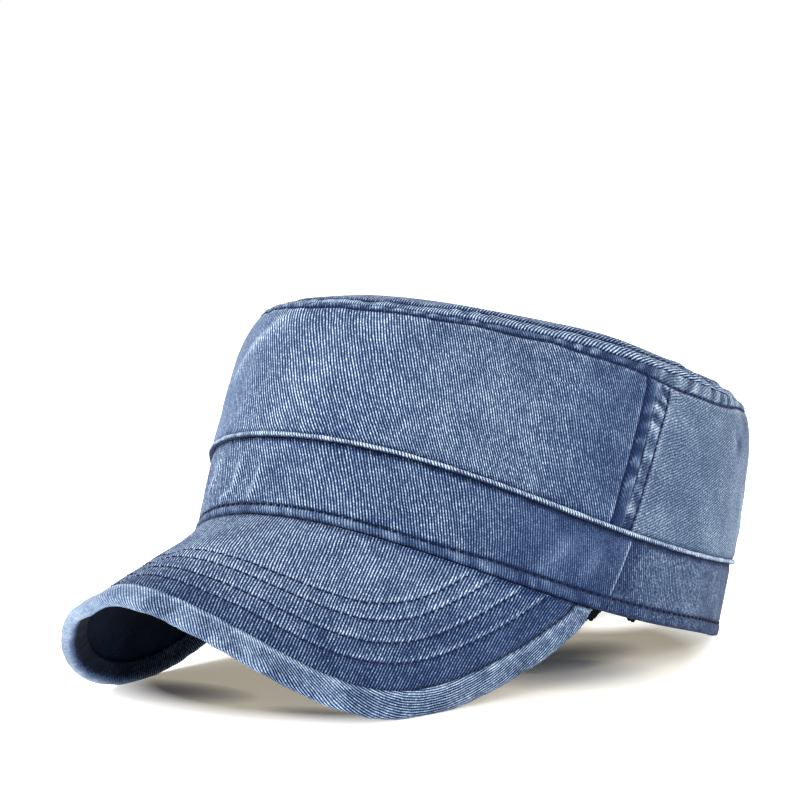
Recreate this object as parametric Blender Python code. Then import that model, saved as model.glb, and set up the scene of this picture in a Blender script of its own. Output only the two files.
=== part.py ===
"""Cadet cap of washed blue cotton twill, as it lies when it is put down.

The cap is worked out upright: +Z up, the peak towards -Y, the wearer's left towards +X and the middle of
the head opening on the Z axis. It is then tipped back until the two lobes of the peak and the back of the
hem carry it, and moved so that the middle of its footprint is the origin. Lengths are in metres.
"""

from math import cos, pi, radians, sin
from typing import NamedTuple

import bmesh
import bpy
import numpy as np
from mathutils import Matrix, Vector

# Head opening, on the outside of the hem
HEAD_HALF_WIDTH = 0.0818
HEAD_FRONT = 0.1034
HEAD_BACK = 0.0946
HEAD_SQUARENESS = 2.04

# Turn of the shoulder, where the crown's side bends over into its top
TOP_HALF_WIDTH = 0.0756
TOP_FRONT = 0.0931
TOP_BACK = 0.0943
TOP_SQUARENESS = 2.28

# Heights, which the table below shares out round the head
RIM_WAVE = 0.0064
BACK_ARCH = 0.012
BACK_ARCH_SPREAD = 60.0
BAND_HEIGHT = 0.028
CROWN_HEIGHT = 0.050

# Crown
CROWN_CLOTH = 0.0014
WALL_BULGE = 0.0017
SHOULDER_DEPTH = 0.006
SEAM_INSET = 0.0050
SEAM_RISE = 0.0035
TOP_RISE = 0.0078
TOP_FLATNESS = 6.2
TOP_SEAM_GAP = 0.0005
CROWN_SEAM_LOW = 79.0
CROWN_SEAM_HIGH = 86.0

# Band, the rolled welt above it and the sweatband inside it
BAND_CLOTH = 0.0020
BAND_INSET = 0.0006
BAND_SEAM_LOW = 77.5
BAND_SEAM_HIGH = 82.0
WELT_HEIGHT = 0.0018
WELT_PROUD = 0.0010
SWEATBAND_CLOTH = 0.0012
SWEATBAND_HEIGHT = 0.030
SWEATBAND_TUCK = 0.0010
SWEATBAND_DROOP = 0.0060
DROOP_ANGLE = 80.0
DROOP_SPREAD = 4.5

# Peak and the binding round its edge
PEAK_HALF_ANGLE = 74.5
PEAK_REACH = 0.0613
PEAK_DROP = 0.050
PEAK_CROWN = 0.0014
PEAK_THICKNESS = 0.0026
PRESSED_THICKNESS = 0.0016
BINDING_WIDTH = 0.0088
BINDING_CLOTH = 0.0010
BINDING_STOP = 0.0008
PEAK_END_SHARE = 0.965

# Room between pieces, and how far the cloth flattens where it rests
CLEARANCE = 0.0003
LOBE_SETTLE = 0.0006
HEM_SETTLE = 0.0009

# How finely the faces follow the curves
ROUND_STEPS = 60
FRONT_STEPS = 28
BACK_STEPS = 32
WALL_STEPS = 5
SHOULDER_STEPS = 4
BAND_STEPS = 3
WELT_STEPS = 4
MIDDLE_STEPS = 8
PEAK_STEPS = 48
PEAK_ROWS = 6
EDGE_STEPS = 5
MERGE = 0.00001
SLIGHT = 0.001
TURNING_STEPS = 40
CREASE_ANGLE = 40

# Colours of the cloth, worn palest where it stands proud
CROWN_BLUE = (0.144, 0.202, 0.328)
BAND_BLUE = (0.107, 0.156, 0.270)
PEAK_BLUE = (0.100, 0.150, 0.270)
BINDING_BLUE = (0.180, 0.240, 0.360)
WELT_BLUE = (0.250, 0.330, 0.460)
TAPE_BLACK = (0.006, 0.007, 0.010)
CLOTH_ROUGHNESS = 0.9

UP = Vector((0, 0, 1))


class Height(NamedTuple):
    """A direction round the head, in degrees from the front, with its share of each named height."""

    angle: float
    rim: float
    band: float
    crown: float


HEIGHTS = (
    Height(angle=0, rim=1.00, band=0.96, crown=0.90),
    Height(angle=45, rim=0.01, band=1.01, crown=0.98),
    Height(angle=90, rim=-0.64, band=0.93, crown=1.08),
    Height(angle=135, rim=0.06, band=0.99, crown=1.04),
    Height(angle=180, rim=-0.21, band=1.18, crown=1.12),
)


class EdgePoint(NamedTuple):
    """A point on half of the peak's outer edge: its share of that half's length, spread, reach and drop."""

    along: float
    across: float
    forward: float
    down: float


EDGE_POINTS = (
    EdgePoint(along=0.00, across=0.000, forward=1.000, down=0.564),
    EdgePoint(along=0.30, across=0.614, forward=0.775, down=0.894),
    EdgePoint(along=0.60, across=0.825, forward=0.379, down=0.894),
    EdgePoint(along=0.85, across=0.928, forward=0.047, down=0.270),
    EdgePoint(along=0.94, across=0.970, forward=-0.004, down=0.076),
    EdgePoint(along=1.00, across=1.000, forward=0.000, down=0.000),
)

# Levels of the top from its seam to its middle, closer together where it turns over
TOP_LEVELS = (1.0, 0.96, 0.90, 0.82, 0.68, 0.42, 0.0)


def round_table(column):
    """The cosine series through one column of the heights table, lowest wave first."""
    angles = np.radians([row.angle for row in HEIGHTS])
    waves = np.cos(np.outer(angles, np.arange(len(HEIGHTS))))
    return np.linalg.solve(waves, [getattr(row, column) for row in HEIGHTS])


RIM_SERIES = round_table("rim")
BAND_SERIES = round_table("band")
CROWN_SERIES = round_table("crown")


def share_at(series, angle):
    """A height's share in the direction of an angle in degrees."""
    return float(sum(term * cos(wave * radians(angle)) for wave, term in enumerate(series)))


def rim_level(angle):
    """Height of the hem's lower edge over the plane of the head opening, without its arch at the back."""
    return RIM_WAVE * share_at(RIM_SERIES, angle)


def rim_height(angle):
    """Height of the hem's lower edge over the plane of the head opening."""
    away = min(abs(angle % 360 - 180) / BACK_ARCH_SPREAD, 1)
    return rim_level(angle) + BACK_ARCH * (1 + cos(pi * away)) / 2


def welt_height(angle):
    """Height of the welt's middle."""
    return rim_level(angle) + BAND_HEIGHT * share_at(BAND_SERIES, angle)


def shoulder_height(angle):
    """Height of the line where the crown turns over into its top."""
    return welt_height(angle) + CROWN_HEIGHT * share_at(CROWN_SERIES, angle)


def bent(value, power):
    """A value raised to a power with its sign kept."""
    return abs(value) ** power * (1 if value >= 0 else -1)


def egg(angle, half_width, front, back, squareness):
    """A point of an egg-shaped ring, longer in front than behind or the other way about."""
    turn = radians(angle)
    length = front if cos(turn) > 0 else back
    across = half_width * bent(sin(turn), 2 / squareness)
    return Vector((across, -length * bent(cos(turn), 2 / squareness), 0))


def wall_middle(angle, height):
    """A point of the straight wall between the head opening and the shoulder, before it bulges."""
    share = height / shoulder_height(angle)
    low = egg(angle, HEAD_HALF_WIDTH, HEAD_FRONT, HEAD_BACK, HEAD_SQUARENESS)
    high = egg(angle, TOP_HALF_WIDTH, TOP_FRONT, TOP_BACK, TOP_SQUARENESS)
    return low.lerp(high, share) + UP * height


def outward(angle, height):
    """The level direction that points straight out of the wall."""
    along = wall_middle(angle + 1, height) - wall_middle(angle - 1, height)
    return Vector((along.y, -along.x, 0)).normalized()


def wall(angle, height, out=0.0):
    """A point of the cap's wall, moved out of its face by a distance."""
    share = height / shoulder_height(angle)
    bulge = WALL_BULGE * 4 * share * (1 - share)
    return wall_middle(angle, height) + outward(angle, height) * (bulge + out)


def seam_point(angle):
    """A point of the seam between the crown's side and its top."""
    height = shoulder_height(angle)
    return wall(angle, height, -SEAM_INSET) + UP * SEAM_RISE


def between(first, last, steps):
    """Evenly spaced numbers from first to last."""
    return [first + (last - first) * step / steps for step in range(steps + 1)]


def inner_face(points, directions, thickness):
    """The inner face of cloth whose outer face runs through points up a wall and over a shoulder."""
    moved = []
    for index, point in enumerate(points):
        before = points[max(index - 1, 0)]
        after = points[min(index + 1, len(points) - 1)]
        run = after - before
        normal = directions[index] * run.z - UP * run.dot(directions[index])
        moved.append(point - normal.normalized() * thickness)
    return moved


def crown_section(share, back):
    """One upright section of a crown panel, share 1 and -1 being its two side seams."""

    def angle_at(height):
        low = welt_height(CROWN_SEAM_LOW)
        climb = (height - low) / (shoulder_height(CROWN_SEAM_HIGH) - low)
        seam = CROWN_SEAM_LOW + (CROWN_SEAM_HIGH - CROWN_SEAM_LOW) * climb
        return panel_angle(share, seam, back)

    angle = angle_at(welt_height(CROWN_SEAM_LOW))
    low = welt_height(angle) + WELT_HEIGHT / 2 + CLEARANCE
    shoulder_angle = angle_at(shoulder_height(CROWN_SEAM_HIGH))
    high = shoulder_height(shoulder_angle) - SHOULDER_DEPTH
    outer = []
    directions = []
    for height in between(low, high, WALL_STEPS):
        outer.append(wall(angle_at(height), height))
        directions.append(outward(angle_at(height), height))
    turn = wall(shoulder_angle, shoulder_height(shoulder_angle))
    seam = seam_point(shoulder_angle)
    seam += (turn - seam).normalized() * TOP_SEAM_GAP / 2
    pull = turn * 2 - (outer[-1] + seam) / 2
    for step in between(0, 1, SHOULDER_STEPS)[1:]:
        first = outer[WALL_STEPS].lerp(pull, step)
        outer.append(first.lerp(pull.lerp(seam, step), step))
        directions.append(outward(shoulder_angle, high))
    return outer + inner_face(outer, directions, CROWN_CLOTH)[::-1]


def panel_angle(share, seam, back):
    """The direction of a share of a panel, which stops half a clearance short of each side seam."""
    half_gap = CLEARANCE / 2 / HEAD_HALF_WIDTH * 180 / pi
    if back:
        return 180 - share * (180 - seam - half_gap)
    return share * (seam - half_gap)


def top_section(angle):
    """A section of the top panel from its seam to its middle."""
    turns = between(0, 360, MIDDLE_STEPS)[1:]
    middle = sum((seam_point(turn) for turn in turns), Vector()) / MIDDLE_STEPS
    seam = seam_point(angle)
    seam += (middle - seam).normalized() * TOP_SEAM_GAP / 2
    outer = [
        middle.lerp(seam, level) + UP * TOP_RISE * (1 - level**TOP_FLATNESS) for level in TOP_LEVELS
    ]
    directions = [outward(angle, shoulder_height(angle))] * len(outer)
    inner = inner_face(outer, directions, CROWN_CLOTH)
    inner[-1] = outer[-1] - UP * CROWN_CLOTH
    return outer + inner[::-1]


def band_section(share, back):
    """One upright section of a band piece."""

    def angle_at(climb):
        seam = BAND_SEAM_LOW + (BAND_SEAM_HIGH - BAND_SEAM_LOW) * climb
        return panel_angle(share, seam, back)

    outer = []
    inner = []
    for climb in between(0, 1, BAND_STEPS):
        angle = angle_at(climb)
        top = welt_height(angle) - WELT_HEIGHT / 2 - CLEARANCE
        height = rim_height(angle) + (top - rim_height(angle)) * climb
        outer.append(wall(angle, height, -BAND_INSET))
        inner.append(wall(angle, height, -BAND_INSET - BAND_CLOTH))
    return outer + inner[::-1]


def welt_section(angle):
    """A section of the rolled welt, round outside and flat inside."""
    height = welt_height(angle)
    half = WELT_HEIGHT / 2
    outer = [
        wall(angle, height + half * sin(radians(turn)), WELT_PROUD * cos(radians(turn)))
        for turn in between(-90, 90, WELT_STEPS)
    ]
    inner = [wall(angle, height + side * half, -CROWN_CLOTH) for side in (1, -1)]
    return outer + inner


def droop(angle):
    """How far the sweatband hangs loose just behind each end of the peak."""
    away = (min(angle, 360 - angle) - DROOP_ANGLE) / DROOP_SPREAD
    if abs(away) >= 1:
        return 0.0
    return SWEATBAND_DROOP * (1 + cos(pi * away)) / 2


def sweatband_section(angle):
    """One upright section of the sweatband, which stands just inside the band."""
    low = rim_height(angle) + SWEATBAND_TUCK - droop(angle)
    high = rim_height(angle) + SWEATBAND_TUCK + SWEATBAND_HEIGHT
    face = -BAND_INSET - BAND_CLOTH - CLEARANCE
    heights = between(low, high, BAND_STEPS)
    outer = [wall(angle, height, face) for height in heights]
    inner = [wall(angle, height, face - SWEATBAND_CLOTH) for height in heights]
    return outer + inner[::-1]


def edge_curvature():
    """Second derivatives of the natural cubic spline through the whole of the peak's edge."""
    knots, places = edge_knots()
    count = len(knots)
    gaps = np.diff(knots)
    slopes = np.diff(places, axis=0) / gaps[:, None]
    matrix = np.eye(count)
    right = np.zeros((count, 3))
    for row in range(1, count - 1):
        matrix[row, row - 1 : row + 2] = (gaps[row - 1], 2 * (gaps[row - 1] + gaps[row]), gaps[row])
        right[row] = 6 * (slopes[row] - slopes[row - 1])
    return knots, places, np.linalg.solve(matrix, right)


def edge_knots():
    """The peak's edge points from its right end to its left, worked out from the table."""
    end = wall(PEAK_HALF_ANGLE, rim_height(PEAK_HALF_ANGLE))
    tip = -HEAD_FRONT - PEAK_REACH
    knots = []
    places = []
    for side, rows in ((-1, EDGE_POINTS[:0:-1]), (1, EDGE_POINTS)):
        for row in rows:
            knots.append(side * row.along)
            across = side * end.x * row.across
            forward = end.y + (tip - end.y) * row.forward
            places.append((across, forward, end.z - PEAK_DROP * row.down))
    return np.array(knots), np.array(places)


EDGE_KNOTS, EDGE_PLACES, EDGE_BENDS = edge_curvature()


def peak_edge(share):
    """A point of the peak's outer edge, share -1 and 1 being its ends at the hem."""
    last = len(EDGE_KNOTS) - 2
    index = int(np.clip(np.searchsorted(EDGE_KNOTS, share) - 1, 0, last))
    gap = EDGE_KNOTS[index + 1] - EDGE_KNOTS[index]
    after = (share - EDGE_KNOTS[index]) / gap
    before = 1 - after
    straight = EDGE_PLACES[index] * before + EDGE_PLACES[index + 1] * after
    bend = EDGE_BENDS[index] * (before**3 - before) + EDGE_BENDS[index + 1] * (after**3 - after)
    return Vector(straight + bend * gap**2 / 6)


def peak_root(share):
    """A point of the line where the peak meets the hem."""
    angle = share * PEAK_HALF_ANGLE
    return wall(angle, rim_height(angle)) - UP * CLEARANCE


def peak_width(share):
    """Width of the peak square to its edge."""
    along = (peak_edge(share + SLIGHT) - peak_edge(share - SLIGHT)).normalized()
    return along.cross(peak_root(share) - peak_edge(share)).length


def peak_face(share, run):
    """A point of the peak's upper face, run 0 at the hem and 1 at the outer edge."""
    root = peak_root(share)
    edge = peak_edge(share)
    along = peak_edge(share + SLIGHT) - peak_edge(share - SLIGHT)
    crown = PEAK_CROWN * 4 * run * (1 - run) * min((edge - root).length / PEAK_REACH, 1)
    return root.lerp(edge, run) + along.cross(root - edge).normalized() * crown


def peak_point(share, run, lift):
    """A point of the peak, lifted off the middle of its thickness but never above the hem."""
    along = peak_face(share + SLIGHT, run) - peak_face(share - SLIGHT, run)
    down = peak_face(share, run + SLIGHT) - peak_face(share, run - SLIGHT)
    normal = down.cross(along).normalized()
    place = peak_face(share, run) + normal * (lift - PEAK_THICKNESS / 2)
    place.z = min(place.z, peak_root(share).z)
    return place


def rounded_edge(share, radius):
    """The half round at the peak's outer edge, about the middle of the binding's thickness."""
    middle = PRESSED_THICKNESS / 2 + CLEARANCE + BINDING_CLOTH
    width = peak_width(share)
    points = []
    for turn in between(90, -90, EDGE_STEPS):
        inset = middle - radius * cos(radians(turn))
        points.append(peak_point(share, 1 - inset / width, radius * sin(radians(turn))))
    return points


def peak_section(share):
    """A section of the peak from the hem, round its pressed edge and back underneath."""
    half = PEAK_THICKNESS / 2
    pressed = PRESSED_THICKNESS / 2
    step = max(1 - (BINDING_WIDTH + CLEARANCE) / peak_width(share), 0)
    runs = between(0, step, PEAK_ROWS)
    upper = [peak_point(share, run, half) for run in runs] + [peak_point(share, step, pressed)]
    lower = [peak_point(share, step, -pressed)] + [peak_point(share, run, -half) for run in runs[::-1]]
    return upper + rounded_edge(share, pressed) + lower


def binding_section(share):
    """A section of the binding, folded over the peak's edge."""
    width = peak_width(share)
    run = 1 - min(BINDING_WIDTH, width - BINDING_STOP) / width
    hollow = PRESSED_THICKNESS / 2 + CLEARANCE
    outside = hollow + BINDING_CLOTH
    outer = [peak_point(share, run, outside), *rounded_edge(share, outside), peak_point(share, run, -outside)]
    inner = [peak_point(share, run, hollow), *rounded_edge(share, hollow), peak_point(share, run, -hollow)]
    return outer + inner[::-1]


def cloth(name, colour):
    """A plain matt cloth material."""
    material = bpy.data.materials.new(name)
    material.use_nodes = True
    shader = material.node_tree.nodes["Principled BSDF"]
    shader.inputs["Base Color"].default_value = (*colour, 1)
    shader.inputs["Roughness"].default_value = CLOTH_ROUGHNESS
    shader.inputs["Metallic"].default_value = 0
    return material


def lofted(name, sections, ring, material):
    """A closed body through sections of equal length, each an outer face and then its inner face.

    A ring joins its last section to its first. A strip is closed across both ends.
    """
    corners = len(sections[0])
    steps = len(sections) if ring else len(sections) - 1
    mesh = bmesh.new()
    bmesh.ops.create_grid(mesh, x_segments=steps, y_segments=corners, size=1)
    ends = {}
    for vert in mesh.verts:
        station = round((vert.co.x + 1) / 2 * steps)
        corner = round((vert.co.y + 1) / 2 * corners)
        vert.co = sections[station % len(sections)][corner % corners]
        ends[station, corner] = vert
    if not ring:
        for station in (0, steps):
            for corner in range(corners // 2 - 1):
                far = corners - 1 - corner
                loop = (corner, corner + 1, far - 1, far)
                mesh.faces.new(ends[station, place] for place in loop)
    bmesh.ops.remove_doubles(mesh, verts=mesh.verts, dist=MERGE)
    loose = [edge for edge in mesh.edges if not edge.link_faces]
    bmesh.ops.delete(mesh, geom=loose, context="EDGES")
    bmesh.ops.triangulate(mesh, faces=mesh.faces)
    bmesh.ops.recalc_face_normals(mesh, faces=mesh.faces)
    data = bpy.data.meshes.new(name)
    mesh.to_mesh(data)
    mesh.free()
    data.materials.append(material)
    piece = bpy.data.objects.new(name, data)
    bpy.context.scene.collection.objects.link(piece)
    return piece


def lowest(places, pitch):
    """The lowest heights of some points once the cap is tipped back by a pitch in radians."""
    return float((places[:, 2] * cos(pitch) - places[:, 1] * sin(pitch)).min())


def set_down(lobes, hem, pieces):
    """Tips the cap back until lobes and hem rest, flattens the cloth there and centres the footprint."""
    lobe_places = np.array([vert.co for vert in lobes.data.vertices])
    hem_places = np.array([vert.co for vert in hem.data.vertices])
    level, steep = 0.0, pi / 4
    for _ in range(TURNING_STEPS):
        pitch = (level + steep) / 2
        if lowest(lobe_places, pitch) + LOBE_SETTLE < lowest(hem_places, pitch) + HEM_SETTLE:
            level = pitch
        else:
            steep = pitch
    lift = -lowest(hem_places, pitch) - HEM_SETTLE
    tipped = Matrix.Translation(UP * lift) @ Matrix.Rotation(-pitch, 4, "X")
    depths = []
    for piece in pieces:
        piece.data.transform(tipped)
        for vert in piece.data.vertices:
            vert.co.z = max(vert.co.z, 0)
            depths.append(vert.co.y)
    centred = Matrix.Translation((0, -(min(depths) + max(depths)) / 2, 0))
    for piece in pieces:
        piece.data.transform(centred)
        piece.data.shade_smooth()
        piece.data.set_sharp_from_angle(angle=radians(CREASE_ANGLE))


def strip(section, steps, back):
    """The sections of a panel from its right side seam to its left."""
    return [section(share, back) for share in between(-1, 1, steps)]


def ring(section):
    """The sections of a piece that goes right round the head."""
    return [section(angle) for angle in between(0, 360, ROUND_STEPS)[:-1]]


def peak_run(section):
    """The sections of a piece that follows the peak from end to end."""
    return [section(share) for share in between(-PEAK_END_SHARE, PEAK_END_SHARE, PEAK_STEPS)]


def main():
    """Clears the scene and makes the cap."""
    for old in list(bpy.data.objects):
        bpy.data.objects.remove(old)
    front = strip(crown_section, FRONT_STEPS, back=False)
    rear = strip(crown_section, BACK_STEPS, back=True)
    band_front = strip(band_section, FRONT_STEPS, back=False)
    band_rear = strip(band_section, BACK_STEPS, back=True)
    crown = (
        lofted("front_panel", front, False, cloth("front_twill", CROWN_BLUE)),
        lofted("rear_panel", rear, False, cloth("rear_twill", CROWN_BLUE)),
        lofted("top_panel", ring(top_section), True, cloth("top_twill", CROWN_BLUE)),
        lofted("crown_welt", ring(welt_section), True, cloth("welt_twill", WELT_BLUE)),
    )
    fore_band = lofted("band_front", band_front, False, cloth("band_front_twill", BAND_BLUE))
    hem = lofted("band_rear", band_rear, False, cloth("band_rear_twill", BAND_BLUE))
    sweatband = lofted("sweatband", ring(sweatband_section), True, cloth("sweatband_tape", TAPE_BLACK))
    peak = lofted("peak", peak_run(peak_section), False, cloth("peak_twill", PEAK_BLUE))
    binding = lofted("peak_binding", peak_run(binding_section), False, cloth("binding_twill", BINDING_BLUE))
    set_down(binding, hem, (*crown, fore_band, hem, sweatband, peak, binding))


main()
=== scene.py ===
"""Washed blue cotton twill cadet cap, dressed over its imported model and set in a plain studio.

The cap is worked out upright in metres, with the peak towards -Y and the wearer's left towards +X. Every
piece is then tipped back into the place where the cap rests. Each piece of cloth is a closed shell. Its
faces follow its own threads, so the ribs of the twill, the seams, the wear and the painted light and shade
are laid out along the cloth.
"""

from __future__ import annotations

import logging
from dataclasses import dataclass, field
from enum import Enum
from math import cos, pi, radians, sin
from typing import Any, Callable, Sequence

import bmesh
import bpy
import numpy as np
from mathutils import Matrix, Vector


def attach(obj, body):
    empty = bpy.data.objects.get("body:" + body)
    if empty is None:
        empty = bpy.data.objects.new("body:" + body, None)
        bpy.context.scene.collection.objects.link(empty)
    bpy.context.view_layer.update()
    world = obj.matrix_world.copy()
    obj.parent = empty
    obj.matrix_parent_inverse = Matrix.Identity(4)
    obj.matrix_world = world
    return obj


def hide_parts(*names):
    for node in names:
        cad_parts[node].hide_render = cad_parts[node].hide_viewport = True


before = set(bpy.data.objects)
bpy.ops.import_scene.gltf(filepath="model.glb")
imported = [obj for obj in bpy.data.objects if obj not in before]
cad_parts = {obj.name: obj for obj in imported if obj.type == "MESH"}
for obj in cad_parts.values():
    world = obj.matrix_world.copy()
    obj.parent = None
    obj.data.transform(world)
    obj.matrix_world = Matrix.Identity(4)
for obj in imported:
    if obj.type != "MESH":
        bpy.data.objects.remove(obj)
LOG = logging.getLogger("cadet_cap")

Numbers = np.ndarray
Colour = tuple[float, float, float]
Place = tuple[float, float, float]
Stops = tuple[tuple[float, Colour], ...]

BODY = "root"
RIB_MAP = "Ribs"
FLAT_MAP = "OFBake"
# The number on the cloth for worn dye together with painted light and painted shade, from -1 dark to 1 pale.
WEAR_AND_SHADING = "fade"
MATTED = "matted"
SLIGHT = 0.001
MERGE = 0.00001
GROUND = 0.00002
SEAM_ROOM = 0.00002
TOP_ROOM = 0.00005
INNER_RELIEF = 0.7
INNER_WEAR_AND_SHADING = 0.3


def linear(red: int, green: int, blue: int) -> Colour:
    """A colour of 0 to 255 steps as the shader's linear light."""
    steps = np.array((red, green, blue)) / 255
    light = np.where(steps <= 0.04045, steps / 12.92, ((steps + 0.055) / 1.055) ** 2.4)
    return tuple(float(value) for value in light)


def unit(vectors: Numbers) -> Numbers:
    """Vectors made one unit long."""
    lengths = np.linalg.norm(vectors, axis=-1, keepdims=True)
    return vectors / np.maximum(lengths, 1e-12)


def hill(distance: Numbers, width: float) -> Numbers:
    """A smooth hump of height 1 that is down to a third at a width from its middle."""
    return np.exp(-((distance / width) ** 2))


def ramp(values: Numbers, low: float, high: float) -> Numbers:
    """A smooth climb from 0 at low to 1 at high."""
    share = np.clip((values - low) / (high - low), 0, 1)
    return share * share * (3 - 2 * share)


def mottle(first: Numbers, second: Numbers | float, size: float, seed: int) -> Numbers:
    """Smooth patches of a size, between -1 and 1, that a seed always makes alike.

    Args:
        first: Where each point lies one way, in metres.
        second: Where it lies the other way.
        size: How far apart the patches are.
        seed: Which set of patches it is.

    Returns:
        The patches' values at the points.
    """
    cells = 96
    table = np.random.default_rng(seed).uniform(-1, 1, (cells, cells))
    spots = np.stack(np.broadcast_arrays(first, second)) / size
    corner = np.floor(spots).astype(int)
    part = spots - corner
    part = part**3 * (part * (part * 6 - 15) + 10)
    left, low = corner % cells
    right, high = (corner + 1) % cells
    bottom = table[left, low] * (1 - part[0]) + table[right, low] * part[0]
    top = table[left, high] * (1 - part[0]) + table[right, high] * part[0]
    return bottom * (1 - part[1]) + top * part[1]


def layered_mottle(first: Numbers, second: Numbers, size: float, seed: int, layers: int = 3) -> Numbers:
    """Patches with finer and fainter ones laid over them."""
    total = np.zeros(np.broadcast(first, second).shape)
    for layer in range(layers):
        total = total + mottle(first, second, size / 2**layer, seed + 17 * layer) / 2**layer
    return total / (2 - 0.5 ** (layers - 1))


def roped(along: Numbers, across: Numbers, pitch: float, seed: int) -> Numbers:
    """Dark and pale patches where a seam pulls the cloth into a rope, from -1 to 1."""
    drift = mottle(along, 0.0, pitch * 2, seed)
    swing = np.sin(2 * pi * (along / pitch + 0.45 * drift))
    strength = 0.70 + 0.55 * mottle(along, 0.0, pitch * 1.3, seed + 1)
    finer = 0.8 * mottle(along, across, pitch / 3, seed + 2)
    return np.clip(swing * strength + finer, -1, 1)


def graded(length: float, coarse: float, fine: float, places: Sequence[float], reach: float) -> Numbers:
    """Shares of a length, closer together near some places.

    Args:
        length: The whole length in metres.
        coarse: The step away from every place.
        fine: The step at a place.
        places: Where along the length the steps are fine.
        reach: How far round each place.

    Returns:
        Rising shares from 0 to 1.
    """
    spots = np.linspace(0, length, 2000)
    near = np.zeros_like(spots)
    for place in places:
        near = np.maximum(near, hill(spots - place, reach))
    rate = 1 / (coarse + (fine - coarse) * near)
    count = np.concatenate([[0], np.cumsum((rate[1:] + rate[:-1]) / 2 * np.diff(spots))])
    wanted = np.linspace(0, count[-1], max(int(round(count[-1])), 2) + 1)
    return np.interp(wanted, count, spots) / length


def lengths_along(places: Numbers) -> Numbers:
    """Distance along each station's line of points."""
    steps = np.linalg.norm(np.diff(places, axis=1), axis=-1)
    return np.concatenate([np.zeros((len(places), 1)), np.cumsum(steps, axis=1)], axis=1)


def read_along(lengths: Numbers, values: Numbers, wanted: Numbers) -> Numbers:
    """Reads values that go with the points of each station's line at wanted distances along it."""
    stations = zip(lengths, values, wanted)
    return np.array([[np.interp(spots, line, column) for column in rows.T] for line, rows, spots in stations]
                    ).transpose(0, 2, 1)


def from_front(angle: Numbers) -> Numbers:
    """Degrees from straight ahead, on either side alike."""
    return np.abs((np.asarray(angle, float) + 180) % 360 - 180)


def read_rows(rows: Sequence[tuple[float, ...]], wanted: Numbers, column: int = 1) -> Numbers:
    """Reads a column between the rows of a table, whose first column rises."""
    table = np.array(rows)
    return np.interp(wanted, table[:, 0], table[:, column])


def path_distance(first: Numbers, second: Numbers, path: Sequence[tuple[float, float]]) -> Numbers:
    """How far points of a flat map lie from a line of straight stretches."""
    best = np.full(np.broadcast(first, second).shape, np.inf)
    for start, end in zip(path[:-1], path[1:]):
        run = np.array(end) - start
        share = ((first - start[0]) * run[0] + (second - start[1]) * run[1]) / (run @ run)
        share = np.clip(share, 0, 1)
        gap = np.hypot(first - start[0] - run[0] * share, second - start[1] - run[1] * share)
        best = np.minimum(best, gap)
    return best


# The cap's form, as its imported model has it


@dataclass(frozen=True)
class RoundHeight:
    """A height that changes round the head.

    Attributes:
        size: The height that the shares are parts of.
        shares: Its share at 0, 45, 90, 135 and 180 degrees from the front.
    """

    size: float
    shares: tuple[float, float, float, float, float]

    def at(self, angle: Numbers) -> Numbers:
        """The height in the direction of angles in degrees."""
        orders = np.arange(len(self.shares))
        turns = np.radians(np.linspace(0, 180, len(self.shares)))
        series = np.linalg.solve(np.cos(np.outer(turns, orders)), self.shares)
        return self.size * np.cos(np.radians(np.asarray(angle, float))[..., None] * orders) @ series


@dataclass(frozen=True)
class Swell:
    """A measure that swells or shrinks in some directions, on both sides of the head alike.

    Attributes:
        level: Its value away from every swelling.
        swellings: The change in the middle of each, the degrees from the front, and the spread in degrees.
    """

    level: float
    swellings: tuple[tuple[float, float, float], ...]

    def at(self, angle: Numbers) -> Numbers:
        """The measure in the direction of angles in degrees."""
        away = from_front(angle)
        total = np.full(away.shape, self.level)
        for change, middle, spread in self.swellings:
            total = total + change * hill(away - middle, spread)
        return total


@dataclass(frozen=True)
class EggRing:
    """An egg-shaped ring, longer in front than behind or the other way about."""

    half_width: float
    front: float
    back: float
    squareness: float

    def at(self, angle: Numbers) -> Numbers:
        """Points of the ring in the direction of angles in degrees."""
        turn = np.radians(np.asarray(angle, float))
        side, ahead = np.sin(turn), np.cos(turn)
        power = 2 / self.squareness
        length = np.where(ahead > 0, self.front, self.back)
        across = self.half_width * np.sign(side) * np.abs(side) ** power
        forward = length * np.sign(ahead) * np.abs(ahead) ** power
        return np.stack([across, -forward, np.zeros_like(across)], axis=-1)


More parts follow.
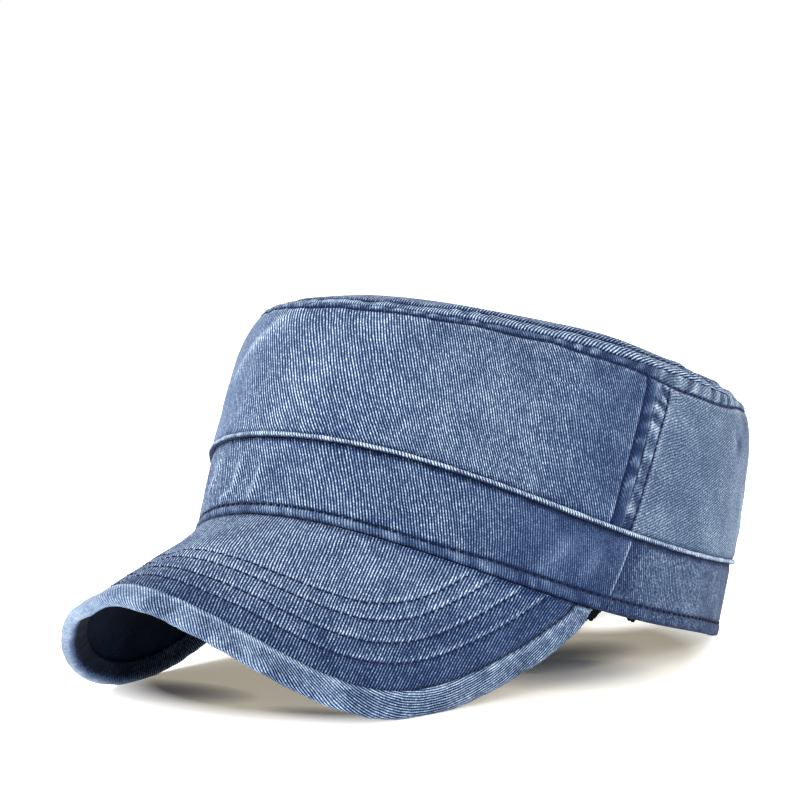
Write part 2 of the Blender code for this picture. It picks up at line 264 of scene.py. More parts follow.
@dataclass(frozen=True)
class CapForm:
    """The upright form that every part of the crown and the band follows."""

    head: EggRing = EggRing(half_width=0.0818, front=0.1034, back=0.0946, squareness=2.04)
    shoulder: EggRing = EggRing(half_width=0.0756, front=0.0931, back=0.0943, squareness=2.28)
    rim: RoundHeight = RoundHeight(0.0064, (1.00, 0.01, -0.64, 0.06, -0.21))
    band: RoundHeight = RoundHeight(0.028, (0.96, 1.01, 0.93, 0.99, 1.18))
    crown: RoundHeight = RoundHeight(0.050, (0.90, 0.98, 1.08, 1.04, 1.12))
    back_arch: float = 0.012
    back_arch_spread: float = 60.0
    bulge: float = 0.0017
    plump: Swell = Swell(0.0, ((0.0022, 86, 26), (0.0008, 118, 18), (-0.0016, 15, 32)))
    shoulder_depth: Swell = Swell(0.010, ((0.004, 48, 25), (0.0035, 131, 28)))
    seam_inset: Swell = Swell(0.0050, ((0.0010, 48, 25), (0.0012, 131, 28)))
    seam_drop: Swell = Swell(0.0011, ((0.0026, 78, 28),))
    seam_rise: float = 0.0035
    corner_rise: float = 0.0006
    top_rise: float = 0.0078
    top_flatness: float = 6.2
    crown_cloth: float = 0.0014
    band_cloth: float = 0.0020
    band_inset: float = 0.0006
    welt_height: float = 0.0018
    clearance: float = 0.0003

    def rim_at(self, angle: Numbers) -> Numbers:
        """Height of the hem's lower edge, which arches up at the back of the head."""
        from_back = np.abs(np.asarray(angle, float) % 360 - 180)
        away = np.minimum(from_back / self.back_arch_spread, 1)
        return self.rim.at(angle) + self.back_arch * (1 + np.cos(pi * away)) / 2

    def welt_at(self, angle: Numbers) -> Numbers:
        """Height of the welt's middle."""
        return self.rim.at(angle) + self.band.at(angle)

    def shoulder_at(self, angle: Numbers) -> Numbers:
        """Height where the crown turns over into its top."""
        return self.welt_at(angle) + self.crown.at(angle) + self.plump.at(angle)

    def wall_middle(self, angle: Numbers, height: Numbers) -> Numbers:
        """Points of the straight wall between head opening and shoulder, before it bulges."""
        share = (height / self.shoulder_at(angle))[..., None]
        places = self.head.at(angle) * (1 - share) + self.shoulder.at(angle) * share
        places[..., 2] = height
        return places

    def outward(self, angle: Numbers, height: Numbers) -> Numbers:
        """Level directions straight out of the wall."""
        along = self.wall_middle(angle + 1, height) - self.wall_middle(angle - 1, height)
        level = np.stack([along[..., 1], -along[..., 0], np.zeros_like(height)], axis=-1)
        return unit(level)

    def wall(self, angle: Numbers, height: Numbers, out: Numbers | float = 0.0) -> Numbers:
        """Points of the cap's wall, moved out of its face by a distance.

        Args:
            angle: Degrees round the head from the front, towards the wearer's left.
            height: Heights over the plane of the head opening.
            out: Distance outwards.

        Returns:
            Upright places, three numbers each.
        """
        angle, height = np.broadcast_arrays(np.asarray(angle, float), np.asarray(height, float))
        share = height / self.shoulder_at(angle)
        away = self.bulge * 4 * share * (1 - share) + out
        return self.wall_middle(angle, height) + self.outward(angle, height) * away[..., None]

    def top_edge(self, angle: Numbers) -> Numbers:
        """Points where the rounded shoulder ends and the flat top begins."""
        height = self.shoulder_at(angle)
        return self.wall(angle, height, -self.seam_inset.at(angle)) + np.array((0, 0, self.seam_rise))

    def shoulder_curve(self, angle: Numbers, count: int) -> Numbers:
        """Points from the wall over the rounded shoulder to the flat top, for a column of angles."""
        height = self.shoulder_at(angle)
        start = self.wall(angle, height - self.shoulder_depth.at(angle))
        corner = self.wall(angle, height + self.corner_rise)
        end = self.top_edge(angle)
        step = np.linspace(0, 1, count)[None, :, None]
        first = start + (corner - start) * step
        second = corner + (end - corner) * step
        return first + (second - first) * step

    def round_length(self, angle: Numbers) -> Numbers:
        """Distance round the head along the welt, from the front to angles up to a whole turn."""
        table = np.linspace(-360, 360, 1441)
        lengths = lengths_along(self.wall(table, self.welt_at(table))[None])[0]
        return np.interp(angle, table, lengths - lengths[720])


@dataclass(frozen=True)
class PeakForm:
    """The curved form of the peak, from the line where it meets the hem to its outer edge.

    Attributes:
        cap: The form that the peak hangs on.
        edge_rows: Half of the edge, as shares of its length, spread, reach and drop.
        dip: How far the edge dips, and how far it gives way, just left of its middle.
    """

    cap: CapForm = field(default_factory=CapForm)
    half_angle: float = 74.5
    reach: float = 0.0613
    drop: float = 0.050
    crown: float = 0.0014
    thickness: float = 0.0026
    pressed: float = 0.0016
    end_share: float = 0.992
    edge_rows: tuple[tuple[float, float, float, float], ...] = (
        (0.00, 0.000, 1.000, 0.564),
        (0.30, 0.614, 0.775, 0.894),
        (0.60, 0.825, 0.379, 0.894),
        (0.85, 0.928, 0.047, 0.300),
        (0.94, 0.970, -0.004, 0.100),
        (1.00, 1.000, 0.000, 0.000),
    )
    dip: tuple[float, float] = (0.0015, 0.0008)
    dip_share: float = -0.085
    dip_spread: float = 0.045

    def knots(self) -> tuple[Numbers, Numbers]:
        """The edge's shares and places from its right end to its left."""
        end = self.cap.wall(self.half_angle, self.cap.rim_at(self.half_angle))
        tip = -self.cap.head.front - self.reach
        rows = np.array(self.edge_rows)
        rows = np.concatenate([rows[:0:-1] * (-1, -1, 1, 1), rows])
        across = end[0] * rows[:, 1]
        forward = end[1] + (tip - end[1]) * rows[:, 2]
        return rows[:, 0], np.stack([across, forward, end[2] - self.drop * rows[:, 3]], axis=1)

    def edge(self, share: Numbers) -> Numbers:
        """Points of the outer edge by a natural cubic spline, share -1 and 1 being its ends."""
        knots, places = self.knots()
        gaps = np.diff(knots)
        slopes = np.diff(places, axis=0) / gaps[:, None]
        matrix = np.eye(len(knots))
        right = np.zeros((len(knots), 3))
        for row in range(1, len(knots) - 1):
            matrix[row, row - 1 : row + 2] = (gaps[row - 1], 2 * (gaps[row - 1] + gaps[row]), gaps[row])
            right[row] = 6 * (slopes[row] - slopes[row - 1])
        bends = np.linalg.solve(matrix, right)
        index = np.clip(np.searchsorted(knots, share) - 1, 0, len(gaps) - 1)
        gap = gaps[index][..., None]
        after = (np.asarray(share)[..., None] - knots[index][..., None]) / gap
        before = 1 - after
        straight = places[index] * before + places[index + 1] * after
        bend = bends[index] * (before**3 - before) + bends[index + 1] * (after**3 - after)
        dip = hill(share - self.dip_share, self.dip_spread)[..., None] * (0, self.dip[1], -self.dip[0])
        return straight + bend * gap**2 / 6 + dip

    def root(self, share: Numbers) -> Numbers:
        """Points of the line where the peak meets the hem."""
        angle = np.asarray(share) * self.half_angle
        places = self.cap.wall(angle, self.cap.rim_at(angle))
        return places - np.array((0, 0, self.cap.clearance))

    def width(self, share: Numbers) -> Numbers:
        """Width of the peak square to its edge."""
        along = unit(self.edge(share + SLIGHT) - self.edge(share - SLIGHT))
        return np.linalg.norm(np.cross(along, self.root(share) - self.edge(share)), axis=-1)

    def face(self, share: Numbers, run: Numbers) -> Numbers:
        """Points of the upper face, run 0 at the hem and 1 at the outer edge."""
        root, edge = self.root(share), self.edge(share)
        along = self.edge(share + SLIGHT) - self.edge(share - SLIGHT)
        most = np.minimum(np.linalg.norm(edge - root, axis=-1) / self.reach, 1)
        crown = self.crown * 4 * run * (1 - run) * most
        steps = np.asarray(run)[..., None]
        return root + (edge - root) * steps + unit(np.cross(along, root - edge)) * crown[..., None]

    def normal(self, share: Numbers, run: Numbers) -> Numbers:
        """Directions straight up out of the upper face."""
        along = self.face(share + SLIGHT, run) - self.face(share - SLIGHT, run)
        down = self.face(share, run + SLIGHT) - self.face(share, run - SLIGHT)
        return unit(np.cross(down, along))

    def point(self, share: Numbers, run: Numbers, lift: Numbers | float) -> Numbers:
        """Points lifted off the middle of the peak's thickness, but never above the hem.

        Args:
            share: Where along the peak, from -1 to 1.
            run: Where across it, from 0 at the hem to 1 at the edge.
            lift: Distance up from the middle of the thickness.

        Returns:
            Upright places, three numbers each.
        """
        share, run, lift = np.broadcast_arrays(share, run, lift)
        away = (lift - self.thickness / 2)[..., None]
        places = self.face(share, run) + self.normal(share, run) * away
        places[..., 2] = np.minimum(places[..., 2], self.root(share)[..., 2])
        return places


@dataclass(frozen=True)
class RestingPlace:
    """How the upright cap is tipped back and moved to where it rests."""

    pitch: float = radians(18.949009)
    lift: float = 0.02008295
    back: float = 0.02419228

    def turned(self, vectors: Numbers) -> Numbers:
        """Directions tipped back with the cap."""
        across, ahead, up = np.moveaxis(vectors, -1, 0)
        turned_ahead = ahead * cos(self.pitch) + up * sin(self.pitch)
        turned_up = up * cos(self.pitch) - ahead * sin(self.pitch)
        return np.stack([across, turned_ahead, turned_up], axis=-1)

    def settled(self, places: Numbers) -> Numbers:
        """Places tipped back and set down, with the cloth flattened where it meets the surface."""
        moved = self.turned(places) + np.array((0, self.back, self.lift))
        moved[..., 2] = np.maximum(moved[..., 2], GROUND)
        return moved


REST = RestingPlace()


# Cloth laid out as a grid


@dataclass
class ClothFace:
    """One face of a piece of cloth, as a grid of stations along it and rows across it.

    Attributes:
        places: Upright places, station by station.
        ribs: Distance across the ribs and along them at each place.
        outside: A rough direction out of the face, to tell its two sides apart.
        relief: How far the cloth stands out at each place.
        fade: How pale or dark the cloth is, from -1 for dark to 1 for pale: worn dye together with painted
            light and painted shade.
        matted: How far the ribs are rubbed away, from 0 to 1.
    """

    places: Numbers
    ribs: Numbers
    outside: Numbers
    relief: Numbers = field(init=False)
    fade: Numbers = field(init=False)
    matted: Numbers = field(init=False)
    normals: Numbers = field(init=False)

    def __post_init__(self) -> None:
        """Starts with flat, evenly dyed cloth."""
        self.relief = np.zeros(self.places.shape[:2])
        self.fade = np.zeros(self.places.shape[:2])
        self.matted = np.zeros(self.places.shape[:2])
        along = np.gradient(self.places, axis=0)
        across = np.gradient(self.places, axis=1)
        normals = unit(np.cross(along, across))
        side = np.sign((normals * self.outside).sum(axis=-1, keepdims=True))
        self.normals = normals * np.where(side == 0, 1, side)

    def raised(self, share: float = 1.0, extra: Numbers | float = 0.0) -> Numbers:
        """The places with a share of the relief and an extra distance added."""
        return self.places + self.normals * (self.relief * share + extra)[..., None]

    def track(self, measure: Numbers, wanted: Numbers | float, crosswise: bool = False) -> Track:
        """Follows the line where a measure over the face has a wanted value.

        Args:
            measure: A number at each place, that rises or falls steadily across the face.
            wanted: Its value on the line, or one value for each station.
            crosswise: Whether the line crosses the stations' rows the other way.

        Returns:
            The line on the raised cloth.
        """
        layers = [self.raised(), self.normals, measure]
        if crosswise:
            layers = [np.swapaxes(layer, 0, 1) for layer in layers]
        places, normals, values = layers
        wanted = np.broadcast_to(wanted, len(values))
        spots, ups, kept = [], [], []
        for station, (line, value) in enumerate(zip(values, wanted)):
            order = line if line[-1] > line[0] else line[::-1]
            kept.append(bool(order[0] <= value <= order[-1]))
            spot = float(np.interp(value, order, np.arange(len(order))))
            if order is not line:
                spot = len(line) - 1 - spot
            low = min(int(spot), len(line) - 2)
            part = spot - low
            spots.append(places[station, low] * (1 - part) + places[station, low + 1] * part)
            ups.append(normals[station, low] * (1 - part) + normals[station, low + 1] * part)
        return Track(np.array(spots)[kept], unit(np.array(ups)[kept]), np.array(kept))


@dataclass
class Track:
    """A line over cloth, with the direction out of the cloth along it."""

    places: Numbers
    normals: Numbers
    kept: Numbers

    def lengths(self) -> Numbers:
        """Distance along the line to each of its points."""
        return lengths_along(self.places[None])[0]


@dataclass(frozen=True)
class SewnRow:
    """A row of machine stitches.

    Attributes:
        pitch: From the start of one stitch to the next.
        length: The thread that shows of each stitch.
        radius: Half the thread's thickness.
        groove: How deep the row is pulled into the cloth.
        spread: How wide that groove is.
    """

    pitch: float = 0.0031
    length: float = 0.0027
    radius: float = 0.00030
    groove: float = 0.00035
    spread: float = 0.0008

    def pull(self, distance: Numbers, along: Numbers) -> Numbers:
        """How far the row pulls the cloth in, deepest where the needle went through."""
        holes = 0.75 + 0.25 * np.cos(2 * pi * along / self.pitch)
        return self.groove * hill(distance, self.spread) * holes


SewnRows = list[tuple[Track, SewnRow]]


def mesh_from(model: bmesh.types.BMesh, data: bpy.types.Mesh) -> bpy.types.Mesh:
    """Puts a finished model into a mesh and lets the model go."""
    model.to_mesh(data)
    model.free()
    return data


def read_numbers(items: Any, name: str, width: int = 1, kind: type = np.float32) -> Numbers:
    """Reads a property of a mesh's vertices, corners or faces, which has so many numbers for each."""
    values = np.empty(len(items) * width, kind)
    items.foreach_get(name, values)
    return values.reshape(-1, width) if width > 1 else values


def add_object(name: str, data: bpy.types.ID) -> bpy.types.Object:
    """Adds a mesh, a lamp or a camera to the scene."""
    made = bpy.data.objects.new(name, data)
    bpy.context.scene.collection.objects.link(made)
    return made


def joined(parts: Sequence[Numbers]) -> Numbers:
    """The numbers of faces laid side by side, the last running back to the first."""
    return np.concatenate([*parts, parts[0][:, :1]], axis=1)


def grid_shell(name: str, layers: Sequence[Numbers], ribs: Sequence[Numbers], ring: bool,
               values: dict[str, Sequence[Numbers]]) -> bpy.types.Object:
    """Makes one closed shell from faces laid side by side, each a grid with the same stations.

    Args:
        name: The piece's name.
        layers: Upright places of each face, station by row, one face going on where the last ends.
        ribs: Distance across and along the ribs, for each face.
        ring: Whether the last station lies on the first.
        values: Other numbers at each place, by name, for each face.

    Returns:
        The piece, in its resting place.
    """
    places, threads = joined(layers), joined(ribs)
    stations, corners = places.shape[:2]
    model = bmesh.new()
    bmesh.ops.create_grid(model, x_segments=stations - 1, y_segments=corners - 1, size=1)
    data = mesh_from(model, bpy.data.meshes.new(name))
    flat = read_numbers(data.vertices, "co", 3)
    station = np.rint((flat[:, 0] + 1) / 2 * (stations - 1)).astype(int)
    corner = np.rint((flat[:, 1] + 1) / 2 * (corners - 1)).astype(int)
    data.vertices.foreach_set("co", REST.settled(places[station, corner]).astype(np.float32).ravel())
    for key, parts in values.items():
        stored = data.attributes.new(key, "FLOAT", "POINT")
        stored.data.foreach_set("value", joined(parts)[station, corner].astype(np.float32))
    used = read_numbers(data.loops, "vertex_index", kind=np.int32)
    add_map(data, RIB_MAP, threads[station, corner][used])
    add_map(data, FLAT_MAP, flat_layout(places)[station, corner][used])
    model = bmesh.new()
    model.from_mesh(data)
    bmesh.ops.remove_doubles(model, verts=model.verts, dist=MERGE)
    loose = [edge for edge in model.edges if not edge.link_faces]
    bmesh.ops.delete(model, geom=loose, context="EDGES")
    if not ring:
        rims = [edge for edge in model.edges if edge.is_boundary]
        bmesh.ops.holes_fill(model, edges=rims, sides=0)
    bmesh.ops.recalc_face_normals(model, faces=model.faces)
    mesh_from(model, data).shade_smooth()
    return add_object(name, data)


def lined_shell(name: str, face: ClothFace, inner: Numbers, count: int, ring: bool,
                shade: float) -> bpy.types.Object:
    """Makes one shell from a face of cloth and its plainer inner side, which has fewer rows.

    Args:
        name: The piece's name.
        face: The outer face.
        inner: Places of the inner side, one behind each of the outer face.
        count: How many of its rows are kept.
        ring: Whether the last station lies on the first.
        shade: How much darker the inner side is.

    Returns:
        The piece, in its resting place.
    """
    rows = np.unique(np.linspace(0, inner.shape[1] - 1, count).astype(int))[::-1]
    values = {WEAR_AND_SHADING: [face.fade, face.fade[:, rows] * INNER_WEAR_AND_SHADING - shade],
              MATTED: [face.matted, np.zeros_like(face.matted[:, rows])]}
    return grid_shell(name, [face.raised(), inner[:, rows]], [face.ribs, face.ribs[:, rows]], ring, values)


def flat_layout(places: Numbers) -> Numbers:
    """Spreads a grid over a square, each way by its mean spacing."""
    margin = 0.002
    layout = np.empty((*places.shape[:2], 2))
    for axis in (0, 1):
        steps = np.linalg.norm(np.diff(places, axis=axis), axis=-1).mean(axis=1 - axis)
        spots = np.concatenate([[0], np.cumsum(np.maximum(steps, 1e-5))])
        shares = margin + spots / spots[-1] * (1 - 2 * margin)
        layout[..., axis] = shares[:, None] if axis == 0 else shares[None, :]
    return layout


def add_map(data: bpy.types.Mesh, name: str, corners: Numbers) -> None:
    """Adds a UV map with a place for each corner of the faces."""
    layer = data.uv_layers.new(name=name, do_init=False)
    layer.uv.foreach_set("vector", corners.astype(np.float32).ravel())


def thread_stitches(name: str, runs: SewnRows) -> bpy.types.Object:
    """Makes all the stitches of some rows as one mesh of short, bent lengths of thread.

    Args:
        name: The piece's name.
        runs: The rows' lines and how each is sewn.

    Returns:
        The piece, in its resting place.
    """
    sides, rings = 6, 6
    model = bmesh.new()
    bmesh.ops.create_uvsphere(model, u_segments=sides, v_segments=rings, radius=1)
    template = mesh_from(model, bpy.data.meshes.new(name + "_template"))
    shape = np.array([vert.co for vert in template.vertices])
    length_share = shape[:, 2]
    reach = np.sqrt(np.maximum(1 - length_share**2, 0)) ** 0.6
    round_share = shape[:, :2] / np.maximum(np.linalg.norm(shape[:, :2], axis=1, keepdims=True), 1e-9)
    round_share = round_share * reach[:, None]
    chance = np.random.default_rng(7)
    all_places, all_maps = [], []
    for track, row in runs:
        lengths = track.lengths()
        count = int(lengths[-1] / row.pitch)
        for index in range(count):
            middle = (index + 0.5) * row.pitch
            half = row.length / 2 * chance.uniform(0.93, 1.06)
            spots = middle + length_share * half
            centre = np.stack([np.interp(spots, lengths, track.places[:, axis]) for axis in range(3)], 1)
            up = unit(np.stack([np.interp(spots, lengths, track.normals[:, axis]) for axis in range(3)], 1))
            ahead = [np.interp(middle + side * half, lengths, track.places[:, axis])
                     for axis in range(3) for side in (1, -1)]
            along = unit(np.array(ahead[::2]) - np.array(ahead[1::2]))
            side_way = unit(np.cross(up, along))
            sag = row.radius * (0.75 - 1.9 * np.abs(length_share) ** 3)
            slant = chance.uniform(-0.12, 0.12) * row.radius * 2 * length_share
            place = centre + up * (sag + round_share[:, 1] * row.radius)[:, None]
            place = place + side_way * (round_share[:, 0] * row.radius * 1.15 + slant)[:, None]
            all_places.append(place)
            all_maps.append(np.stack([length_share * half, np.arctan2(*round_share.T) * row.radius], 1))
    model = bmesh.new()
    for _ in all_places:
        model.from_mesh(template)
    data = mesh_from(model, bpy.data.meshes.new(name))
    bpy.data.meshes.remove(template)
    settled = REST.settled(np.concatenate(all_places))
    data.vertices.foreach_set("co", settled.astype(np.float32).ravel())
    used = read_numbers(data.loops, "vertex_index", kind=np.int32)
    add_map(data, RIB_MAP, np.concatenate(all_maps)[used])
    model = bmesh.new()
    model.from_mesh(data)
    bmesh.ops.recalc_face_normals(model, faces=model.faces)
    mesh_from(model, data).shade_smooth()
    return add_object(name, data)


# Shader maths


class Value:
    """A number that changes over the surface, on which Python's operators add Math nodes."""

    def __init__(self, graph: Graph, socket: bpy.types.NodeSocket) -> None:
        """Wraps an output socket of a graph."""
        self.graph = graph
        self.socket = socket

    def using(self, operation: str, *others: Value | float) -> Value:
        """The outcome of a Math node on this value and others."""
        return self.graph.math(operation, self, *others)

    def __add__(self, other: Value | float) -> Value:
        """Adds."""
        return self.graph.math("ADD", self, other)

    def __radd__(self, other: float) -> Value:
        """Adds to a plain number."""
        return self.graph.math("ADD", other, self)

    def __sub__(self, other: Value | float) -> Value:
        """Takes away."""
        return self.graph.math("SUBTRACT", self, other)

    def __rsub__(self, other: float) -> Value:
        """Takes from a plain number."""
        return self.graph.math("SUBTRACT", other, self)

    def __mul__(self, other: Value | float) -> Value:
        """Multiplies."""
        return self.graph.math("MULTIPLY", self, other)

    def __rmul__(self, other: float) -> Value:
        """Multiplies a plain number."""
        return self.graph.math("MULTIPLY", other, self)

    def __truediv__(self, other: Value | float) -> Value:
        """Divides."""
        return self.graph.math("DIVIDE", self, other)

    def floored(self) -> Value:
        """The whole number below."""
        return self.using("FLOOR")

    def clamped(self) -> Value:
        """Held between 0 and 1."""
        return self.using("MAXIMUM", 0.0).using("MINIMUM", 1.0)

    def wave(self) -> Value:
        """A wave from 0 to 1 that comes back at each whole number, where it is 0."""
        return 0.5 - 0.5 * (self * (2 * pi)).using("COSINE")


class Graph:
    """The node tree of one material."""

    def __init__(self, name: str) -> None:
        """Starts a material with its plain shader."""
        self.material = bpy.data.materials.new(name)
        self.material.use_nodes = True
        self.tree = self.material.node_tree
        self.shader = self.tree.nodes["Principled BSDF"]

    def node(self, kind: str, settings: dict[str, Any] | None = None, **sockets: Any) -> bpy.types.Node:
        """Adds a node.

        Args:
            kind: The node's type.
            settings: Its settings, set first. A ramp's stops are pairs of place and colour.
            **sockets: Values or links of its input sockets, with _ for a space.

        Returns:
            The node.
        """
        made = self.tree.nodes.new(kind)
        for key, value in (settings or {}).items():
            if key == "stops":
                self.set_stops(made.color_ramp, value)
            else:
                setattr(made, key, value)
        for key, value in sockets.items():
            self.feed(made.inputs[key.replace("_", " ")], value)
        return made

    def set_stops(self, colours: bpy.types.ColorRamp, stops: Stops) -> None:
        """Gives a ramp its stops."""
        while len(colours.elements) < len(stops):
            colours.elements.new(0.5)
        for element, (place, colour) in zip(colours.elements, stops):
            element.position = place
            element.color = (*colour, 1)

    def feed(self, socket: bpy.types.NodeSocket, value: Any) -> None:
        """Links a value to a socket, or sets a plain one on it."""
        if isinstance(value, Value):
            self.tree.links.new(value.socket, socket)
        elif isinstance(value, bpy.types.NodeSocket):
            self.tree.links.new(value, socket)
        else:
            socket.default_value = value

    def math(self, operation: str, *values: Value | float) -> Value:
        """Adds a Math node."""
        made = self.node("ShaderNodeMath", {"operation": operation})
        for socket, value in zip(made.inputs, values):
            self.feed(socket, value)
        return Value(self, made.outputs[0])

    def tinted(self, share: Value, stops: Stops) -> Any:
        """The colour of a ramp at a share of it."""
        return self.node("ShaderNodeValToRGB", {"stops": stops}, Fac=share).outputs["Color"]

    def mixed(self, share: Value | float, first: Any, second: Any) -> Any:
        """Mixes two colours and gives the outcome's socket."""
        made = self.node("ShaderNodeMix", {"data_type": "RGBA", "blend_type": "MIX"})
        self.feed(made.inputs[0], share)
        self.feed(made.inputs[6], first if not isinstance(first, tuple) else (*first, 1))
        self.feed(made.inputs[7], second if not isinstance(second, tuple) else (*second, 1))
        return made.outputs[2]

    def attribute(self, name: str) -> Value:
        """A number kept on the piece's mesh."""
        return Value(self, self.node("ShaderNodeAttribute", {"attribute_name": name}).outputs["Fac"])

    def rib_place(self) -> tuple[Value, Value, Any]:
        """Distance across the ribs, distance along them, and both as one vector."""
        place = self.node("ShaderNodeUVMap", {"uv_map": RIB_MAP}).outputs["UV"]
        parts = self.node("ShaderNodeSeparateXYZ", Vector=place)
        return Value(self, parts.outputs["X"]), Value(self, parts.outputs["Y"]), place

    def stretched(self, place: Any, sizes: Place, shift: Place = (0, 0, 0)) -> Any:
        """A place measured in sizes of its own, and shifted."""
        made = self.node("ShaderNodeMapping", {"vector_type": "POINT"}, Vector=place, Location=shift,
                         Scale=tuple(1 / size for size in sizes))
        return made.outputs["Vector"]

    def patches(self, place: Any, size: float, detail: float = 2.0, seed: float = 0.0) -> Value:
        """Cloudy patches of a size, from 0 to 1 and mostly about 0.5."""
        spot = self.stretched(place, (size, size, size), (seed, seed * 1.7, seed * 0.3))
        made = self.node("ShaderNodeTexNoise", {"noise_dimensions": "3D"}, Vector=spot, Scale=1.0,
                         Detail=detail, Roughness=0.55)
        return Value(self, made.outputs[0])

    def chance(self, first: Value, second: Value | float = 0.0) -> Value:
        """A number from 0 to 1 for each pair of whole numbers."""
        pair = self.node("ShaderNodeCombineXYZ", X=first + 0.5, Y=second if second == 0.0 else second + 0.5)
        made = self.node("ShaderNodeTexWhiteNoise", {"noise_dimensions": "2D"}, Vector=pair.outputs[0])
        return Value(self, made.outputs["Value"])

    def finish(self, colour: Any, roughness: Any, height: Value, depth: float, sheen: float,
               shine: float) -> Any:
        """Feeds the shader and gives the material.

        Args:
            colour: The base colour's socket or plain colour.
            roughness: The roughness, as a value or a number.
            height: The bump's height, from 0 to 1.
            depth: How deep the bump is, in metres.
            sheen: The constant weight of the cloth's soft sheen.
            shine: The constant level of its reflections.

        Returns:
            The material.
        """
        bump = self.node("ShaderNodeBump", Height=height, Distance=depth, Strength=1.0)
        self.feed(self.shader.inputs["Base Color"], colour)
        self.feed(self.shader.inputs["Roughness"], roughness)
        self.feed(self.shader.inputs["Normal"], bump.outputs["Normal"])
        self.shader.inputs["Specular IOR Level"].default_value = shine
        self.shader.inputs["Sheen Weight"].default_value = sheen
        self.shader.inputs["Sheen Roughness"].default_value = 0.5
        return self.material


# Finishes


@dataclass(frozen=True)
class Twill:
    """Washed blue twill, whose ribs are palest where they are worn.

    Attributes:
        pitch: From one rib to the next.
        bead: Length of each float of thread along a rib.
        contrast: How much paler the ribs are than the grooves.
        level: How pale the cloth is as a whole, about 0.5.
        blotch: How uneven the dye is.
        grain: How strong the fine speckle of the threads is.
        depth: How deep the grooves are.
        shine: How strongly it reflects, as the shader counts it.
        seed: Which set of patches the cloth has.
        tint: How pale the cloth is, from 0 to 1, and its colour then.
        soft_tint: The same where ribs and grooves blend.
    """

    name: str
    pitch: float = 0.0010
    bead: float = 0.0011
    contrast: float = 0.92
    level: float = 0.36
    blotch: float = 0.22
    grain: float = 0.45
    depth: float = 0.00022
    shine: float = 0.12
    seed: float = 0.0
    tint: Stops = (
        (0.00, linear(4, 20, 54)),
        (0.25, linear(29, 54, 97)),
        (0.50, linear(78, 101, 137)),
        (0.75, linear(140, 161, 187)),
        (1.00, linear(212, 227, 240)),
    )
    soft_tint: Stops = (
        (0.00, linear(22, 40, 76)),
        (0.25, linear(55, 73, 103)),
        (0.50, linear(104, 121, 146)),
        (0.75, linear(163, 178, 194)),
        (1.00, linear(213, 224, 231)),
    )

    def material(self) -> bpy.types.Material:
        """Builds the cloth's material."""
        graph = Graph(self.name)
        across, along, place = graph.rib_place()
        slow = graph.patches(place, 0.020, 1.0, self.seed + 3)
        quick = graph.patches(place, 0.0040, 1.0, self.seed + 5)
        phase = across / self.pitch + (slow - 0.5) * 1.2 + (quick - 0.5) * 0.5
        rib = phase.floored()
        crest = phase.wave()
        step = along / self.bead + graph.chance(rib)
        bead = step.wave()
        thread = graph.chance(rib, step.floored())
        clouds = graph.patches(place, 0.013, 4.0, self.seed)
        broad = graph.patches(place, 0.045, 2.0, self.seed + 11)
        fuzz = graph.patches(place, 0.0007, 2.0, self.seed + 23)
        fade = graph.attribute(WEAR_AND_SHADING)
        matted = graph.attribute(MATTED).clamped()
        plain = 1.0 - matted
        lit = crest * (0.80 + 0.20 * bead) * (0.80 + 0.40 * thread)
        tone = self.level + (lit - 0.45) * plain * self.contrast
        tone = tone + (clouds - 0.5) * (1.5 * self.blotch) + (broad - 0.5) * (0.8 * self.blotch)
        tone = tone + (fuzz - 0.5) * self.grain + fade * 0.25
        pale = tone.clamped()
        colour = graph.mixed(matted, graph.tinted(pale, self.tint), graph.tinted(pale, self.soft_tint))
        roughness = 0.92 - 0.10 * crest
        height = crest * plain * (0.72 + 0.28 * bead) + (fuzz - 0.5) * 0.40
        return graph.finish(colour, roughness, height, self.depth, 0.4 * self.shine, self.shine)


@dataclass(frozen=True)
class Thread:
    """Twisted sewing thread."""

    name: str
    dark: Colour = linear(7, 12, 38)
    pale: Colour = linear(34, 44, 88)
    twist: float = 0.0006

    def material(self) -> bpy.types.Material:
        """Builds the thread's material."""
        graph = Graph(self.name)
        across, along, place = graph.rib_place()
        strand = ((across + along * 1.2) / self.twist).wave()
        wear = graph.patches(place, 0.0009, 2.0, 4.0)
        colour = graph.mixed((strand * 0.6 + (wear - 0.3)).clamped(), self.dark, self.pale)
        return graph.finish(colour, 0.75 - 0.15 * strand, strand, 0.00008, 0.03, 0.1)


@dataclass(frozen=True)
class Tape:
    """Black plain-woven tape."""

    name: str
    thread: float = 0.0008
    dark: Colour = linear(3, 4, 8)
    pale: Colour = linear(20, 23, 32)

    def material(self) -> bpy.types.Material:
        """Builds the tape's material."""
        graph = Graph(self.name)
        across, along, place = graph.rib_place()
        warp = (across / self.thread).wave()
        weft = (along / self.thread).wave()
        over = (across / self.thread).floored() + (along / self.thread).floored()
        turn = (over * 0.5).wave()
        weave = warp * turn + weft * (1 - turn)
        wear = graph.patches(place, 0.006, 4.0, 9.0)
        colour = graph.mixed((weave * 0.45 + (wear - 0.45) * 0.8).clamped(), self.dark, self.pale)
        return graph.finish(colour, 0.9 - 0.1 * weave, weave, 0.00015, 0.0, 0.05)


